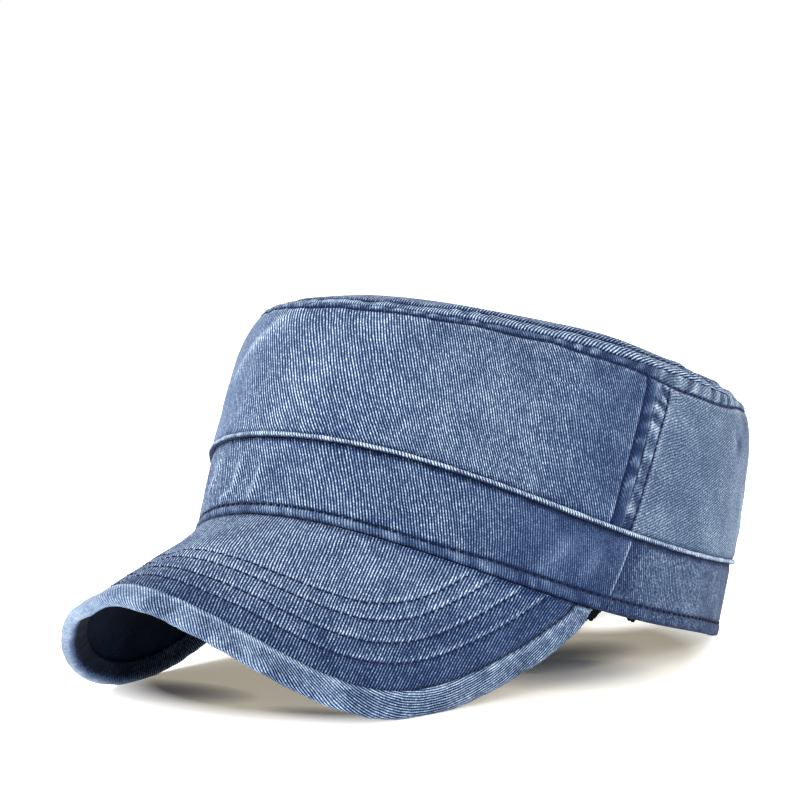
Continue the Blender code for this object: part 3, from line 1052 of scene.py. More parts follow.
@dataclass(frozen=True)
class PaleFloor:
    """Smooth white paper under the cap, glowing with painted light that is dimmed into painted shadows round
    the cap and rises to white away from it.
    """

    name: str = "paper"
    first: Colour = (0.90, 0.895, 0.875)
    second: Colour = (0.93, 0.925, 0.905)
    # Painted light: the paper glows by itself in this colour near the cap, and in the far colour away from
    # it.
    painted_glow: Colour = (0.33, 0.295, 0.225)
    painted_far_light: Colour = (1.0, 1.0, 1.0)
    painted_far_light_from: float = 0.090
    painted_far_light_reach: float = 0.022
    # Painted shadows: middle across and ahead, reach each way and strength of the spots where the glow is
    # dimmed.
    painted_shadows: tuple[tuple[float, float, float, float, float], ...] = (
        (0.034, 0.030, 0.026, 0.036, 0.95),
        (-0.040, -0.081, 0.040, 0.018, 0.95),
        (0.044, -0.086, 0.036, 0.012, 0.80),
        (0.060, 0.006, 0.031, 0.030, 0.97),
    )

    def material(self) -> bpy.types.Material:
        """Builds the floor's material."""
        graph = Graph(self.name)
        place = graph.node("ShaderNodeTexCoord").outputs["Object"]
        grain = graph.patches(place, 0.01, 3.0)
        colour = graph.mixed(grain, self.first, self.second)
        parts = graph.node("ShaderNodeSeparateXYZ", Vector=place)
        side, ahead = (Value(graph, parts.outputs[name]) for name in "XY")
        lit: Any = 1.0
        # Painted shadows dim the glow in spots round the cap.
        for middle_x, middle_y, reach_x, reach_y, strength in self.painted_shadows:
            first, second = (side - middle_x) / reach_x, (ahead - middle_y) / reach_y
            near = (1.0 - (first * first + second * second)).clamped()
            lit = lit - near * strength
        # Painted light: the glow rises to white away from the cap.
        away = (side * side + ahead * ahead).using("SQRT")
        open_part = ((away - self.painted_far_light_from) / self.painted_far_light_reach).clamped()
        painted_glow = graph.mixed(lit.clamped(), (0.0, 0.0, 0.0), self.painted_glow)
        painted_glow = graph.mixed(open_part, painted_glow, self.painted_far_light)
        graph.feed(graph.shader.inputs["Emission Color"], painted_glow)
        graph.shader.inputs["Emission Strength"].default_value = 1.0
        return graph.finish(colour, 0.9 + 0.05 * grain, grain, 0.00001, 0.0, 0.25)


class Slot(Enum):
    """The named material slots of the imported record."""

    TWILL = "twill"
    WELT = "welt_twill"
    SWEATBAND = "sweatband_tape"
    PEAK = "peak_twill"
    BINDING = "binding_twill"


def dress(piece: bpy.types.Object, slot: Slot, nodes: Sequence[str], *materials: bpy.types.Material) -> None:
    """Gives a piece its materials and body, and puts it in place of some nodes.

    Args:
        piece: The finished piece.
        slot: The record's slot that its finish stands for; not used.
        nodes: The nodes that it replaces, if any.
        *materials: Its materials in the order of the mesh's slots.
    """
    for material in materials:
        piece.data.materials.append(material)
    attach(piece, BODY)
    if nodes:
        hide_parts(*nodes)
    places = read_numbers(piece.data.vertices, "co", 3) * 1000
    LOG.info("%s: %d faces, %s to %s mm", piece.name, len(piece.data.polygons),
             np.round(places.min(axis=0), 1), np.round(places.max(axis=0), 1))


@dataclass(frozen=True)
class Crease:
    """A soft worn fold in the wall's cloth.

    Attributes:
        path: Degrees round the head and metres over the welt, from one end to the other.
        width: How wide it is.
        height: How far it stands out.
        fade: How much paler it is worn, or, where this is under 0, how much darker it is painted as shade in
            the fold.
    """

    path: tuple[tuple[float, float], ...]
    width: float = 0.0022
    height: float = 0.0004
    fade: float = 0.7

    def press(self, face: ClothFace, form: CapForm, around: Numbers, above: Numbers) -> None:
        """Folds and fades cloth whose places lie so far round the head and above the welt."""
        line = [(float(form.round_length(angle)), height) for angle, height in self.path]
        strength = hill(path_distance(around, above, line), self.width)
        face.relief += self.height * strength
        face.fade += self.fade * strength


@dataclass(frozen=True)
class Grain:
    """How the ribs run on a part of the wall.

    Attributes:
        rows: Degrees round the head, the ribs' lean from straight down there in degrees, and how far apart
            they are drawn.
        middle: Distance up from the part's lower edge where the rows hold.
        low_lean: How much further they lean at the lower edge.
        reach: Distance up from that edge where they lean no further.
    """

    rows: tuple[tuple[float, float, float], ...]
    middle: float = 0.020
    low_lean: float = 0.0
    reach: float = 0.022

    def ribs(self, form: CapForm, angle: Numbers, above: Numbers) -> Numbers:
        """Distance across and along the ribs at places of the part."""
        fine = np.linspace(angle.min() - 2, angle.max() + 2, 500)
        run = np.gradient(form.round_length(fine)) / read_rows(self.rows, fine, 2)
        lean = np.radians(read_rows(self.rows, fine))
        summed = [np.interp(angle, fine, np.cumsum(part * run)) for part in (np.cos(lean), np.sin(lean))]
        here = np.radians(read_rows(self.rows, angle))
        low = np.clip(above, 0, self.reach)
        bend = radians(self.low_lean) * (low - low**2 / (2 * self.reach))
        rise = (above - self.middle) / read_rows(self.rows, angle, 2)
        across = summed[0] + rise * np.sin(here) + bend * np.cos(here)
        along = summed[1] - rise * np.cos(here) + bend * np.sin(here)
        return np.stack([across, along], axis=-1)


# The sides of the crown


@dataclass
class SideLayout:
    """A side panel laid out flat.

    Attributes:
        face: The panel's cloth.
        angle: Degrees round the head.
        above: Distance up from the welt.
        below: Distance down from the panel's upper edge.
        beside: Distance round from the nearer side seam.
        row: Distance of the shoulder's row of stitches from the upper edge.
    """

    face: ClothFace
    angle: Numbers
    above: Numbers
    below: Numbers
    beside: Numbers
    row: Numbers


@dataclass(frozen=True)
class CrownSide:
    """A panel of the crown's side, from the welt up on to the shoulder.

    Attributes:
        back: Whether it is the rear panel, and not the front one.
        grain: How its ribs run.
        strip_low: Distance of the side seam's stitches from the seam, at the welt.
        strip_high: The same at the shoulder.
        shoulder_row: Degrees from the front and the shoulder's row of stitches under the flat top there.
    """

    form: CapForm
    back: bool
    grain: Grain
    creases: tuple[Crease, ...] = ()
    seam_low: float = 78.4
    seam_high: float = 85.6
    seam_gap: float = 0.0001
    strip_low: float = 0.0048
    strip_high: float = 0.0046
    strip_rise: float = 0.00065
    matted: float = 0.0
    fine_part: float = 0.011
    folds: float = 0.00045
    seed: int = 1
    side_row: SewnRow = SewnRow(groove=0.0005, radius=0.00030, spread=0.0007)
    top_row: SewnRow = SewnRow(groove=0.0005, radius=0.00029, spread=0.0008)
    shoulder_row: tuple[tuple[float, float], ...] = (
        (0, 0.0035), (18, 0.0032), (39, 0.0043), (50, 0.0050), (58, 0.0053), (65, 0.0067), (75, 0.0072),
        (81, 0.0076), (86, 0.0090), (91, 0.0095), (97, 0.0090), (105, 0.0079), (116, 0.0060), (135, 0.0046),
        (180, 0.0042),
    )

    def angle_at(self, share: Numbers, height: Numbers) -> Numbers:
        """Degrees round the head of shares of the panel at some heights."""
        low = self.form.welt_at(self.seam_low)
        climb = (height - low) / (self.form.shoulder_at(self.seam_high) - low)
        gap = np.degrees(self.seam_gap / 2 / self.form.head.half_width)
        seam = self.seam_low + (self.seam_high - self.seam_low) * np.minimum(climb, 1)
        if self.back:
            return 180 - share * (180 - seam - gap)
        return share * (seam - gap)

    def row_at(self, angle: Numbers) -> Numbers:
        """Distance of the shoulder's row of stitches from the panel's upper edge."""
        wave = 0.00035 * mottle(angle / 12, 0.0, 1.0, self.seed + 31)
        return read_rows(self.shoulder_row, from_front(angle)) - self.form.seam_drop.at(angle) + wave

    def layout(self) -> SideLayout:
        """Lays the panel out."""
        form = self.form
        side = float(form.round_length(82))
        half = float(form.round_length(180)) - side if self.back else side
        half_shares = graded(half, 0.00085, 0.00040, (half, half - self.strip_high), 0.0020)
        share = np.concatenate([-half_shares[:0:-1], half_shares])[:, None]
        low_angle = self.angle_at(share, form.welt_at(self.seam_low))
        low = form.welt_at(low_angle) + form.welt_height / 2 + SEAM_ROOM
        top_angle = self.angle_at(share, form.shoulder_at(self.seam_high))
        high = form.shoulder_at(top_angle) - form.shoulder_depth.at(top_angle)
        height = low + (high - low) * np.linspace(0, 1, 60)[None, :]
        angle = self.angle_at(share, height)
        curve = form.shoulder_curve(top_angle, 60)[:, 1:]
        line = np.concatenate([form.wall(angle, height), curve], axis=1)
        angle = np.concatenate([angle, np.repeat(top_angle, curve.shape[1], axis=1)], axis=1)
        lengths = lengths_along(line)
        full = lengths[:, -1:] - form.seam_drop.at(top_angle) - TOP_ROOM
        fine = np.broadcast_to(np.linspace(0, self.fine_part, 27), (len(full), 27))
        rest = graded(0.044, 0.0009, 0.0004, (0.044,), 0.0020)[None, 1:]
        below = np.concatenate([fine, self.fine_part + rest * (full - self.fine_part)], axis=1)[:, ::-1]
        above = full - below
        values = read_along(lengths, np.concatenate([line, angle[..., None]], axis=-1), above)
        places, angle = values[..., :3], values[..., 3]
        ribs = self.grain.ribs(form, angle, above)
        face = ClothFace(places, ribs, places - np.array((0, 0, 0.02)))
        edge_angle = self.angle_at(np.where(share < 0, -1.0, 1.0), places[..., 2])
        beside = np.abs(form.round_length(edge_angle) - form.round_length(angle))
        return SideLayout(face, angle, above, below, beside, self.row_at(top_angle))

    def shaped(self) -> tuple[ClothFace, SewnRows]:
        """The panel with its folds, seams and wear, and its rows of stitches."""
        sheet = self.layout()
        face, above, below = sheet.face, sheet.above, sheet.below
        around = self.form.round_length(sheet.angle)
        soft = layered_mottle(around, above, 0.024, self.seed, 2)
        fine = layered_mottle(around, above, 0.006, self.seed + 5, 2)
        face.relief += self.folds * soft + 0.00012 * fine
        face.fade += 0.25 * soft
        for crease in self.creases:
            crease.press(face, self.form, around, above)
        face.matted += self.matted
        if not self.back:
            # Painted light: the front panel is paler towards the wearer's right, the side the key lamp
            # lights.
            face.fade += 0.35 * ramp(-sheet.angle, 5, 35)
            side_on = ramp(np.abs(sheet.angle), 52, 84)
            face.matted += 0.35 * side_on + 0.45 * ramp(-sheet.angle, 5, 30)
            # Painted shade: darker towards the side seams, which turn away from the key lamp.
            face.fade -= 0.65 * side_on
        self.sew_top(face, around, below, sheet.row)
        self.sew_sides(face, above, below, sheet.beside, sheet.row)
        # Painted shade: darker where the panel tucks in over the welt.
        tuck = ramp(above, 0.0, 0.0018)
        face.relief += -0.0004 * (1 - tuck)
        face.fade += -0.5 * (1 - tuck)
        return face, self.rows(sheet)

    def sew_top(self, face: ClothFace, around: Numbers, below: Numbers, row: Numbers) -> None:
        """Puckers the strip between the shoulder's row of stitches and the panel's upper edge."""
        strip = 1 - ramp(below, row - 0.0007, row)
        lumps = roped(around + below * 0.9, below * 0.6, 0.0078, self.seed + 41)
        puckers = mottle(around, below * 0.35, 0.0046, self.seed + 43)
        puckers = puckers * hill(below - row, 0.0055) * (1 - strip)
        face.relief += strip * (0.00035 + 0.00025 * lumps) + 0.00020 * puckers
        face.fade += strip * (-0.05 + 0.85 * lumps) + 0.50 * puckers
        face.matted = np.maximum(face.matted, 0.50 * strip)
        face.relief -= self.top_row.pull(below - row, around)
        # Painted shade along the row's groove, lighter towards the wearer's right, where the key lamp falls.
        face.fade -= (1.8 - 1.3 * ramp(-around, 0.0, 0.045)) * hill(below - row, 0.0005)
        # Painted highlights on the cloth between the stitches.
        teeth = 0.5 + 0.5 * np.cos(2 * pi * around / self.top_row.pitch)
        face.fade += 0.9 * teeth * hill(below - row - 0.0013, 0.0007)
        # Painted shade in the crease at the panel's upper edge.
        edge = 1 - ramp(below, 0.0, 0.0009)
        face.relief -= 0.0006 * edge
        face.fade -= 1.2 * edge

    def sew_sides(self, face: ClothFace, above: Numbers, below: Numbers, beside: Numbers,
                  row: Numbers) -> None:
        """Raises and puckers the strip beside the side seam."""
        strip = self.strip_width(above)
        clear = ramp(below, row, row + 0.0012)
        inside = (1 - ramp(beside, strip - 0.0006, strip)) * clear
        phase = 0.0036 if self.back else 0.0
        lumps = roped(above + beside * 0.4 + phase, beside * 0.6, 0.0073, self.seed + 51)
        puckers = mottle(above, beside * 0.3, 0.0050, self.seed + 55) * hill(beside - strip, 0.0045) * clear
        swell = np.sin(pi * np.clip(0.12 + 0.88 * beside / strip, 0, 1))
        face.relief += inside * swell * (self.strip_rise + 0.00025 * lumps) + 0.00020 * puckers
        face.fade += inside * (-0.35 + 1.05 * lumps) + 0.50 * puckers * (1 - inside)
        face.matted = np.maximum(face.matted, 0.7 * inside)
        face.relief -= self.side_row.pull(beside - strip, above) * clear
        # Painted shade along the row's groove, and a painted highlight on the cloth beside it.
        face.fade -= 1.7 * hill(beside - strip, 0.0005) * clear
        face.fade += 0.45 * hill(beside - strip - 0.0014, 0.0008) * clear
        crease = 1 - ramp(beside, 0.0, 0.0007)
        face.relief -= 0.0002 * crease * clear
        # A pale wavy line beside the seam, and painted shade in the seam's crease.
        wavy = 0.0007 + 0.0006 * mottle(above, 0.0, 0.004, self.seed + 57)
        face.fade += (0.9 * hill(beside - wavy, 0.0005) - 0.5 * (1 - ramp(beside, 0.0, 0.0003))) * clear

    def strip_width(self, above: Numbers) -> Numbers:
        """Distance of the side seam's stitches from the seam, which narrows towards the welt."""
        return self.strip_low + (self.strip_high - self.strip_low) * np.clip(above / 0.048, 0, 1)

    def rows(self, sheet: SideLayout) -> SewnRows:
        """The lines of the panel's stitches."""
        face = sheet.face
        runs = [(face.track(-sheet.below, -sheet.row[:, 0]), self.top_row)]
        half = len(face.places) // 2
        for side, end in ((slice(0, half), 0), (slice(half, None), -1)):
            part = ClothFace(face.places[side], face.ribs[side], face.outside[side])
            part.relief = face.relief[side]
            wanted = self.strip_width(sheet.above[side].mean(axis=0))
            track = part.track(sheet.beside[side], wanted, crosswise=True)
            clear = sheet.below[end][track.kept] > sheet.row[end, 0] + 0.0003
            runs.append((Track(track.places[clear], track.normals[clear], track.kept), self.side_row))
        return runs

    def build(self, name: str, node: str, finish: Twill) -> SewnRows:
        """Makes the panel, dresses it and gives its rows of stitches."""
        face, rows = self.shaped()
        inner = face.raised(INNER_RELIEF, -self.form.crown_cloth)
        dress(lined_shell(name, face, inner, 26, False, 0.2), Slot.TWILL, (node,), finish.material())
        return rows


# The flat top of the crown


@dataclass(frozen=True)
class CrownTop:
    """The top panel, which turns down on to the shoulder all round.

    Attributes:
        row_inset: Degrees from the front and how far in from the edge its row of stitches lies there.
    """

    form: CapForm
    lean: float = 19.0
    row_inset: tuple[tuple[float, float], ...] = (
        (0, 0.0047), (20, 0.0052), (45, 0.0070), (70, 0.0072), (100, 0.0068), (140, 0.0048), (180, 0.0045),
    )
    fine_part: float = 0.013
    folds: float = 0.0009
    seed: int = 61
    row: SewnRow = SewnRow(groove=0.0011, radius=0.00030, spread=0.0010)

    def layout(self) -> tuple[ClothFace, Numbers, Numbers]:
        """Lays the panel out.

        Returns:
            The cloth, distance in from its edge, and degrees round the head.
        """
        form = self.form
        angle = np.linspace(0, 360, 641)[:, None]
        rim = form.top_edge(angle)
        middle = form.top_edge(np.linspace(0, 360, 9)[1:]).mean(axis=0)
        level = np.linspace(1, 0, 160)[None, 1:, None]
        rise = form.top_rise * (1 - level**form.top_flatness)
        dome = middle + (rim - middle) * level + rise * np.array((0, 0, 1.0))
        line = np.concatenate([form.shoulder_curve(angle, 60), dome], axis=1)
        lengths = lengths_along(line)
        start = lengths[:, 59:60] - form.seam_drop.at(angle) + TOP_ROOM
        full = lengths[:, -1:] - start
        fine = np.broadcast_to(np.linspace(0, self.fine_part, 30), (len(full), 30))
        rest = graded(0.080, 0.0017, 0.00045, (0.0,), 0.0030)[None, 1:]
        inset = np.concatenate([fine, self.fine_part + rest * (full - self.fine_part)], axis=1)
        places = read_along(lengths, line, start + inset)
        ahead = unit((rim - middle) * (1, 1, 0))
        radius = (full - inset)[..., None]
        spread = (ahead * radius)[..., :2]
        lean = radians(self.lean)
        across = spread[..., 0] * cos(lean) + spread[..., 1] * sin(lean)
        along = spread[..., 0] * sin(lean) - spread[..., 1] * cos(lean)
        outside = np.broadcast_to(np.array((0, 0, 1.0)), places.shape) + ahead * 0.7
        face = ClothFace(places, np.stack([across, along], axis=-1), outside)
        face.normals[:, -1] = (0, 0, 1)
        return face, inset, angle

    def build(self, name: str, node: str, finish: Twill) -> SewnRows:
        """Makes the top, dresses it and gives its row of stitches."""
        face, inset, angle = self.layout()
        across, ahead = face.places[..., 0], face.places[..., 1]
        calm = ramp(inset, 0.006, 0.03)
        soft = layered_mottle(across, ahead, 0.042, self.seed, 2)
        fine = layered_mottle(across, ahead, 0.007, self.seed + 3, 2)
        face.relief += self.folds * soft * calm + 0.00012 * fine * calm
        face.fade += 0.3 * soft * calm
        turn = np.radians(angle)
        loop = np.stack([np.cos(turn), np.sin(turn)]) * 0.085
        waver = mottle(loop[0], loop[1], 0.016, self.seed + 7)
        row = read_rows(self.row_inset, from_front(angle)) + 0.0004 * waver
        lumps = roped(self.form.round_length(angle) + inset * 0.7, inset, 0.0095, self.seed + 9)
        strip = ramp(inset, 0.0, 0.0006) * (1 - ramp(inset, row - 0.0009, row))
        puckers = mottle(loop[0] + inset * 0.1, loop[1], 0.0048, self.seed + 11) * hill(inset - row, 0.006)
        swell = np.sin(pi * np.clip(inset / row, 0, 1))
        scallops = mottle(loop[0] * 1.5, loop[1] * 1.5, 0.016, self.seed + 15)
        face.relief += strip * (0.00050 * swell + 0.00020 * lumps) + 0.00025 * puckers
        face.relief += (0.00055 + 0.00055 * scallops) * hill(inset - row - 0.0030, 0.0020)
        face.relief += 0.00050 * scallops * hill(inset - row / 2, 0.0025)
        face.fade += strip * (0.15 + 0.40 * lumps) + 0.35 * puckers
        face.relief -= self.row.pull(inset - row, self.form.round_length(angle))
        # Painted shade along the row's groove.
        face.fade -= 3.0 * hill(inset - row, 0.0010)
        # Painted shade in the crease at the panel's edge, with a pale line just inside it.
        edge = 1 - ramp(inset, 0.0, 0.0008)
        face.relief -= 0.0004 * edge
        face.fade += 0.5 * hill(inset - 0.0012, 0.0006) - 1.2 * edge
        face.relief[:, -1] = face.relief[:, -2].mean()
        face.fade[:, -1] = face.fade[:, -2].mean()
        inner = face.raised(INNER_RELIEF, -self.form.crown_cloth)
        dress(lined_shell(name, face, inner, 16, True, 0.2), Slot.TWILL, (node,), finish.material())
        return [(face.track(inset, row[:, 0]), self.row)]


# The welt


@dataclass(frozen=True)
class Welt:
    """The narrow fold of cloth that stands out between crown and band."""

    form: CapForm
    lean: float = 27.0
    proud: float = 0.0007
    half: float = 0.00080
    turn_steps: int = 12
    seed: int = 71

    def build(self, name: str, node: str, finish: Twill) -> None:
        """Makes the welt and dresses it."""
        form = self.form
        angle = np.linspace(0, 360, 721)[:, None]
        turn = np.radians(np.linspace(-100, 90, self.turn_steps))[None, :]
        around = form.round_length(angle)
        loop = np.stack([np.cos(np.radians(angle)), np.sin(np.radians(angle))]) * 0.09
        uneven = mottle(loop[0], loop[1], 0.007, self.seed) * 0.00012
        height = form.welt_at(angle) + (self.half + uneven) * np.sin(turn)
        out = (self.proud + uneven * 1.5) * np.cos(turn)
        outer = form.wall(angle, height, out)
        back_turn = np.array((1.0, -1.0))[None, :]
        inner = form.wall(angle, form.welt_at(angle) + back_turn * self.half, -form.crown_cloth)
        lean = radians(self.lean)
        girth = turn * self.half
        ribs = np.stack([around * cos(lean) + girth * sin(lean),
                         around * sin(lean) - girth * cos(lean)], axis=-1)
        lumps = mottle(loop[0], loop[1], 0.006, self.seed + 5)
        crest = np.cos(turn - 0.35)
        beads = mottle(loop[0], loop[1] + girth * 0.5, 0.0016, self.seed + 7)
        lumps = lumps + 0.9 * beads
        # Paler along the crest. Painted shade darkens the underside, where the welt overhangs the band, and
        # its inner side inside the cap.
        fade = np.maximum(crest, 0) ** 2 + 0.50 * lumps - 1.9 * (1 - ramp(turn, -1.5, -0.35))
        dark = np.full(inner.shape[:2], -0.8)
        matted = np.full(fade.shape, 0.25)
        piece = grid_shell(name, [outer, inner], [ribs, ribs[:, [-1, 0]]], True,
                           {WEAR_AND_SHADING: [fade, dark], MATTED: [matted, matted[:, :2]]})
        dress(piece, Slot.WELT, (node,), finish.material())


# The band under the welt


@dataclass(frozen=True)
class Band:
    """A piece of the band, from its rolled hem up to the welt.

    Attributes:
        back: Whether it is the rear piece, and not the front one.
        grain: How its ribs run.
    """

    form: CapForm
    back: bool
    grain: Grain
    creases: tuple[Crease, ...] = ()
    seam_low: float = 77.5
    seam_high: float = 82.0
    seam_gap: float = 0.0001
    hem: float = 0.0046
    roll: float = 0.00055
    folds: float = 0.00035
    seed: int = 81
    row: SewnRow = SewnRow(pitch=0.00325, length=0.0018, radius=0.00037, groove=0.0005, spread=0.0007)

    def angle_at(self, share: Numbers, climb: Numbers) -> Numbers:
        """Degrees round the head of shares of the piece at shares of its height."""
        gap = np.degrees(self.seam_gap / 2 / self.form.head.half_width)
        seam = self.seam_low + (self.seam_high - self.seam_low) * climb
        if self.back:
            return 180 - share * (180 - seam - gap)
        return share * (seam - gap)

    def layout(self) -> tuple[ClothFace, Numbers, Numbers, Numbers]:
        """Lays the piece out.

        Returns:
            The cloth, distance up from the hem's edge, distance round the head, and distance from the
            nearer side seam.
        """
        form = self.form
        side = float(form.round_length(80))
        half = float(form.round_length(180)) - side if self.back else side
        half_shares = graded(half, 0.0009, 0.00035, (half,), 0.0020)
        share = np.concatenate([-half_shares[:0:-1], half_shares])[:, None]
        climb = graded(0.027, 0.0009, 0.00022, (0.0, self.hem), 0.0016)[None, :]
        angle = self.angle_at(share, climb)
        rim = form.rim_at(angle)
        top = form.welt_at(angle) - form.welt_height / 2 - SEAM_ROOM
        height = rim + (top - rim) * climb
        places = form.wall(angle, height, -form.band_inset)
        above = height - rim
        around = form.round_length(angle)
        ribs = self.grain.ribs(form, angle, above)
        outside = places - np.array((0, 0, 0.01))
        beside = np.abs(form.round_length(self.angle_at(np.sign(share) + (share == 0), climb)) - around)
        return ClothFace(places, ribs, outside), above, around, beside

    def build(self, name: str, node: str, finish: Twill) -> SewnRows:
        """Makes the piece, dresses it and gives its row of stitches."""
        form = self.form
        face, above, around, beside = self.layout()
        top = above.max(axis=1, keepdims=True)
        over_welt = above - top
        soft = layered_mottle(around, above, 0.017, self.seed, 2)
        fine = layered_mottle(around, above, 0.005, self.seed + 5, 2)
        calm = ramp(above, self.hem, self.hem + 0.004)
        face.relief += (self.folds * soft + 0.0001 * fine) * calm
        face.fade += 0.3 * soft
        side_on = ramp(np.abs(around), float(form.round_length(38)), float(form.round_length(66)))
        face.matted += 0.48 if self.back else 0.50 * side_on
        if not self.back:
            # Painted shade: darker towards the side seams, which turn away from the key lamp.
            face.fade -= 0.80 * side_on
        for crease in self.creases:
            crease.press(face, form, around, over_welt)
        self.roll_hem(face, above, around)
        ridge = hill(beside - 0.0003, 0.0005) * ramp(above, self.hem, self.hem + 0.002)
        face.relief += 0.0003 * ridge * (0.3 if self.back else 1.0)
        face.fade += ridge * (-0.6 if self.back else 1.5)
        if self.back:
            face.fade -= 0.7 * hill(beside - 0.002, 0.0045) * ramp(above, self.hem, self.hem + 0.004)
        # Painted shadow under the welt: the band's top sinks in and darkens, unevenly in beads.
        under = 1 - ramp(top - above, 0.0003, 0.0022)
        knots = mottle(around, above * 0.5, 0.0016, self.seed + 31)
        face.relief -= (0.0004 + 0.00015 * knots) * under
        face.fade -= (1.5 + 0.9 * knots) * under
        half_cloth = form.band_cloth / 2
        turn = np.clip(1 - above / half_cloth, 0, 1)
        edge = half_cloth * (1 - np.sqrt(1 - turn**2))
        face.relief -= edge
        inner = face.places + face.normals * (edge * 0.9 - form.band_cloth)[..., None]
        dress(lined_shell(name, face, inner, 14, False, 0.3), Slot.TWILL, (node,), finish.material())
        return [(face.track(above, self.row_at(around)[:, 0]), self.row)]

    def row_at(self, around: Numbers) -> Numbers:
        """Distance of the hem's row of stitches from its edge, which is narrower over the peak."""
        return self.hem - 0.0012 * (1 - ramp(np.abs(around), 0.055, 0.085))

    def roll_hem(self, face: ClothFace, above: Numbers, around: Numbers) -> None:
        """Rolls and puckers the hem under its row of stitches."""
        row = self.row_at(around)
        inside = 1 - ramp(above, row - 0.0010, row)
        tube = np.sqrt(np.clip(1 - ((above - row * 0.45) / (row * 0.62)) ** 2, 0, 1))
        lumps = roped(around + above * 0.6, above * 0.5, 0.0088, self.seed + 21)
        face.relief += inside * tube * (self.roll + 0.00018 * lumps)
        # Pale and dark patches of the rolled hem, and painted shade along its lower edge, where it turns
        # under.
        shade, patch = (-0.50, 0.18) if self.back else (0.10, 0.50)
        face.fade += inside * (shade + patch * lumps) - 0.8 * inside * (1 - ramp(above, 0.0002, 0.0014))
        face.matted = np.maximum(face.matted, 0.45 * inside)
        puckers = mottle(around + above * 0.3, above * 0.3, 0.0052, self.seed + 25)
        puckers = puckers * hill(above - row, 0.0045)
        face.relief += 0.00016 * puckers
        face.fade += 0.35 * puckers
        face.relief -= self.row.pull(above - row, around)
        # Painted shade along the row's groove.
        face.fade -= 1.5 * hill(above - row - 0.0002, 0.0006)


# The sweatband


@dataclass(frozen=True)
class Sweatband:
    """The black band inside, which hangs loose and frayed just behind the ends of the peak."""

    form: CapForm
    cloth: float = 0.0012
    height: float = 0.030
    tuck: float = 0.0010
    droop: float = 0.0054
    droop_angle: float = 75.6
    droop_spread: float = 2.8
    second_droop: float = 0.0010
    second_angle: float = 87.0
    seed: int = 91

    def hang(self, angle: Numbers) -> Numbers:
        """How far the band hangs loose in each direction."""
        ahead = from_front(angle)
        total = np.zeros_like(ahead)
        for droop, middle in ((self.droop, self.droop_angle), (self.second_droop, self.second_angle)):
            away = (ahead - middle) / self.droop_spread
            total = total + np.where(np.abs(away) < 1, droop * np.sqrt((1 + np.cos(pi * away)) / 2), 0)
        return total

    def build(self, name: str, node: str, finish: Tape) -> None:
        """Makes the sweatband and dresses it."""
        form = self.form
        angle = np.linspace(0, 360, 1081)[:, None]
        frayed = mottle(form.round_length(angle), 0.0, 0.0016, self.seed)
        frayed = frayed + 0.6 * mottle(form.round_length(angle), 0.0, 0.0007, self.seed + 1)
        droop = self.hang(angle)
        low = form.rim_at(angle) + self.tuck - droop + frayed * np.minimum(0.0009, droop)
        high = form.rim_at(angle) + self.tuck + self.height
        rows = graded(0.030, 0.0035, 0.0008, (0.0,), 0.004)[None, :]
        height = low + (high - low) * rows
        around = form.round_length(angle)
        waves = 0.0005 * layered_mottle(around, height, 0.012, self.seed + 3, 2)
        waves = waves * ramp(rows, 0.1, 0.5) - 0.0002
        out = -form.band_inset - form.band_cloth - form.clearance + np.minimum(waves, 0)
        outer = form.wall(angle, height, out)
        inner = form.wall(angle, height, out - self.cloth)[:, ::-1]
        ribs = np.stack(np.broadcast_arrays(around, height), axis=-1)
        flat = np.zeros(outer.shape[:2])
        piece = grid_shell(name, [outer, inner], [ribs, ribs[:, ::-1]], True, {WEAR_AND_SHADING: [flat, flat]})
        dress(piece, Slot.SWEATBAND, (node,), finish.material())


# The peak and its binding


def unrolled(first: Numbers, second: Numbers) -> tuple[Numbers, Numbers]:
    """Lays the strip between two lines flat, keeping its lengths, with its middle straight down.

    Args:
        first: Points along the strip's upper line.
        second: The same number of points along its lower line.

    Returns:
        The flat places of both lines.
    """

    def reach(start: Numbers, end: Numbers, from_start: float, from_end: float, side: int) -> Numbers:
        """The point at two distances from two others, on one side of them."""
        way = end - start
        gap = np.linalg.norm(way)
        ahead = (from_start**2 - from_end**2 + gap**2) / (2 * gap)
        aside = np.sqrt(max(from_start**2 - ahead**2, 0)) * side
        return start + (way * ahead + np.array((-way[1], way[0])) * aside) / gap

    def length(start: Numbers, end: Numbers) -> float:
        """Distance between two points."""
        return float(np.linalg.norm(end - start))

    count = len(first)
    upper, lower = np.zeros((count, 2)), np.zeros((count, 2))
    lower[count // 2] = (0, -length(first[count // 2], second[count // 2]))
    for side in (1, -1):
        here = count // 2
        while 0 <= here + side < count:
            there = here + side
            upper[there] = reach(upper[here], lower[here], length(first[here], first[there]),
                                 length(second[here], first[there]), side)
            lower[there] = reach(upper[there], lower[here], length(first[there], second[there]),
                                 length(second[here], second[there]), side)
            here = there
    return upper, lower


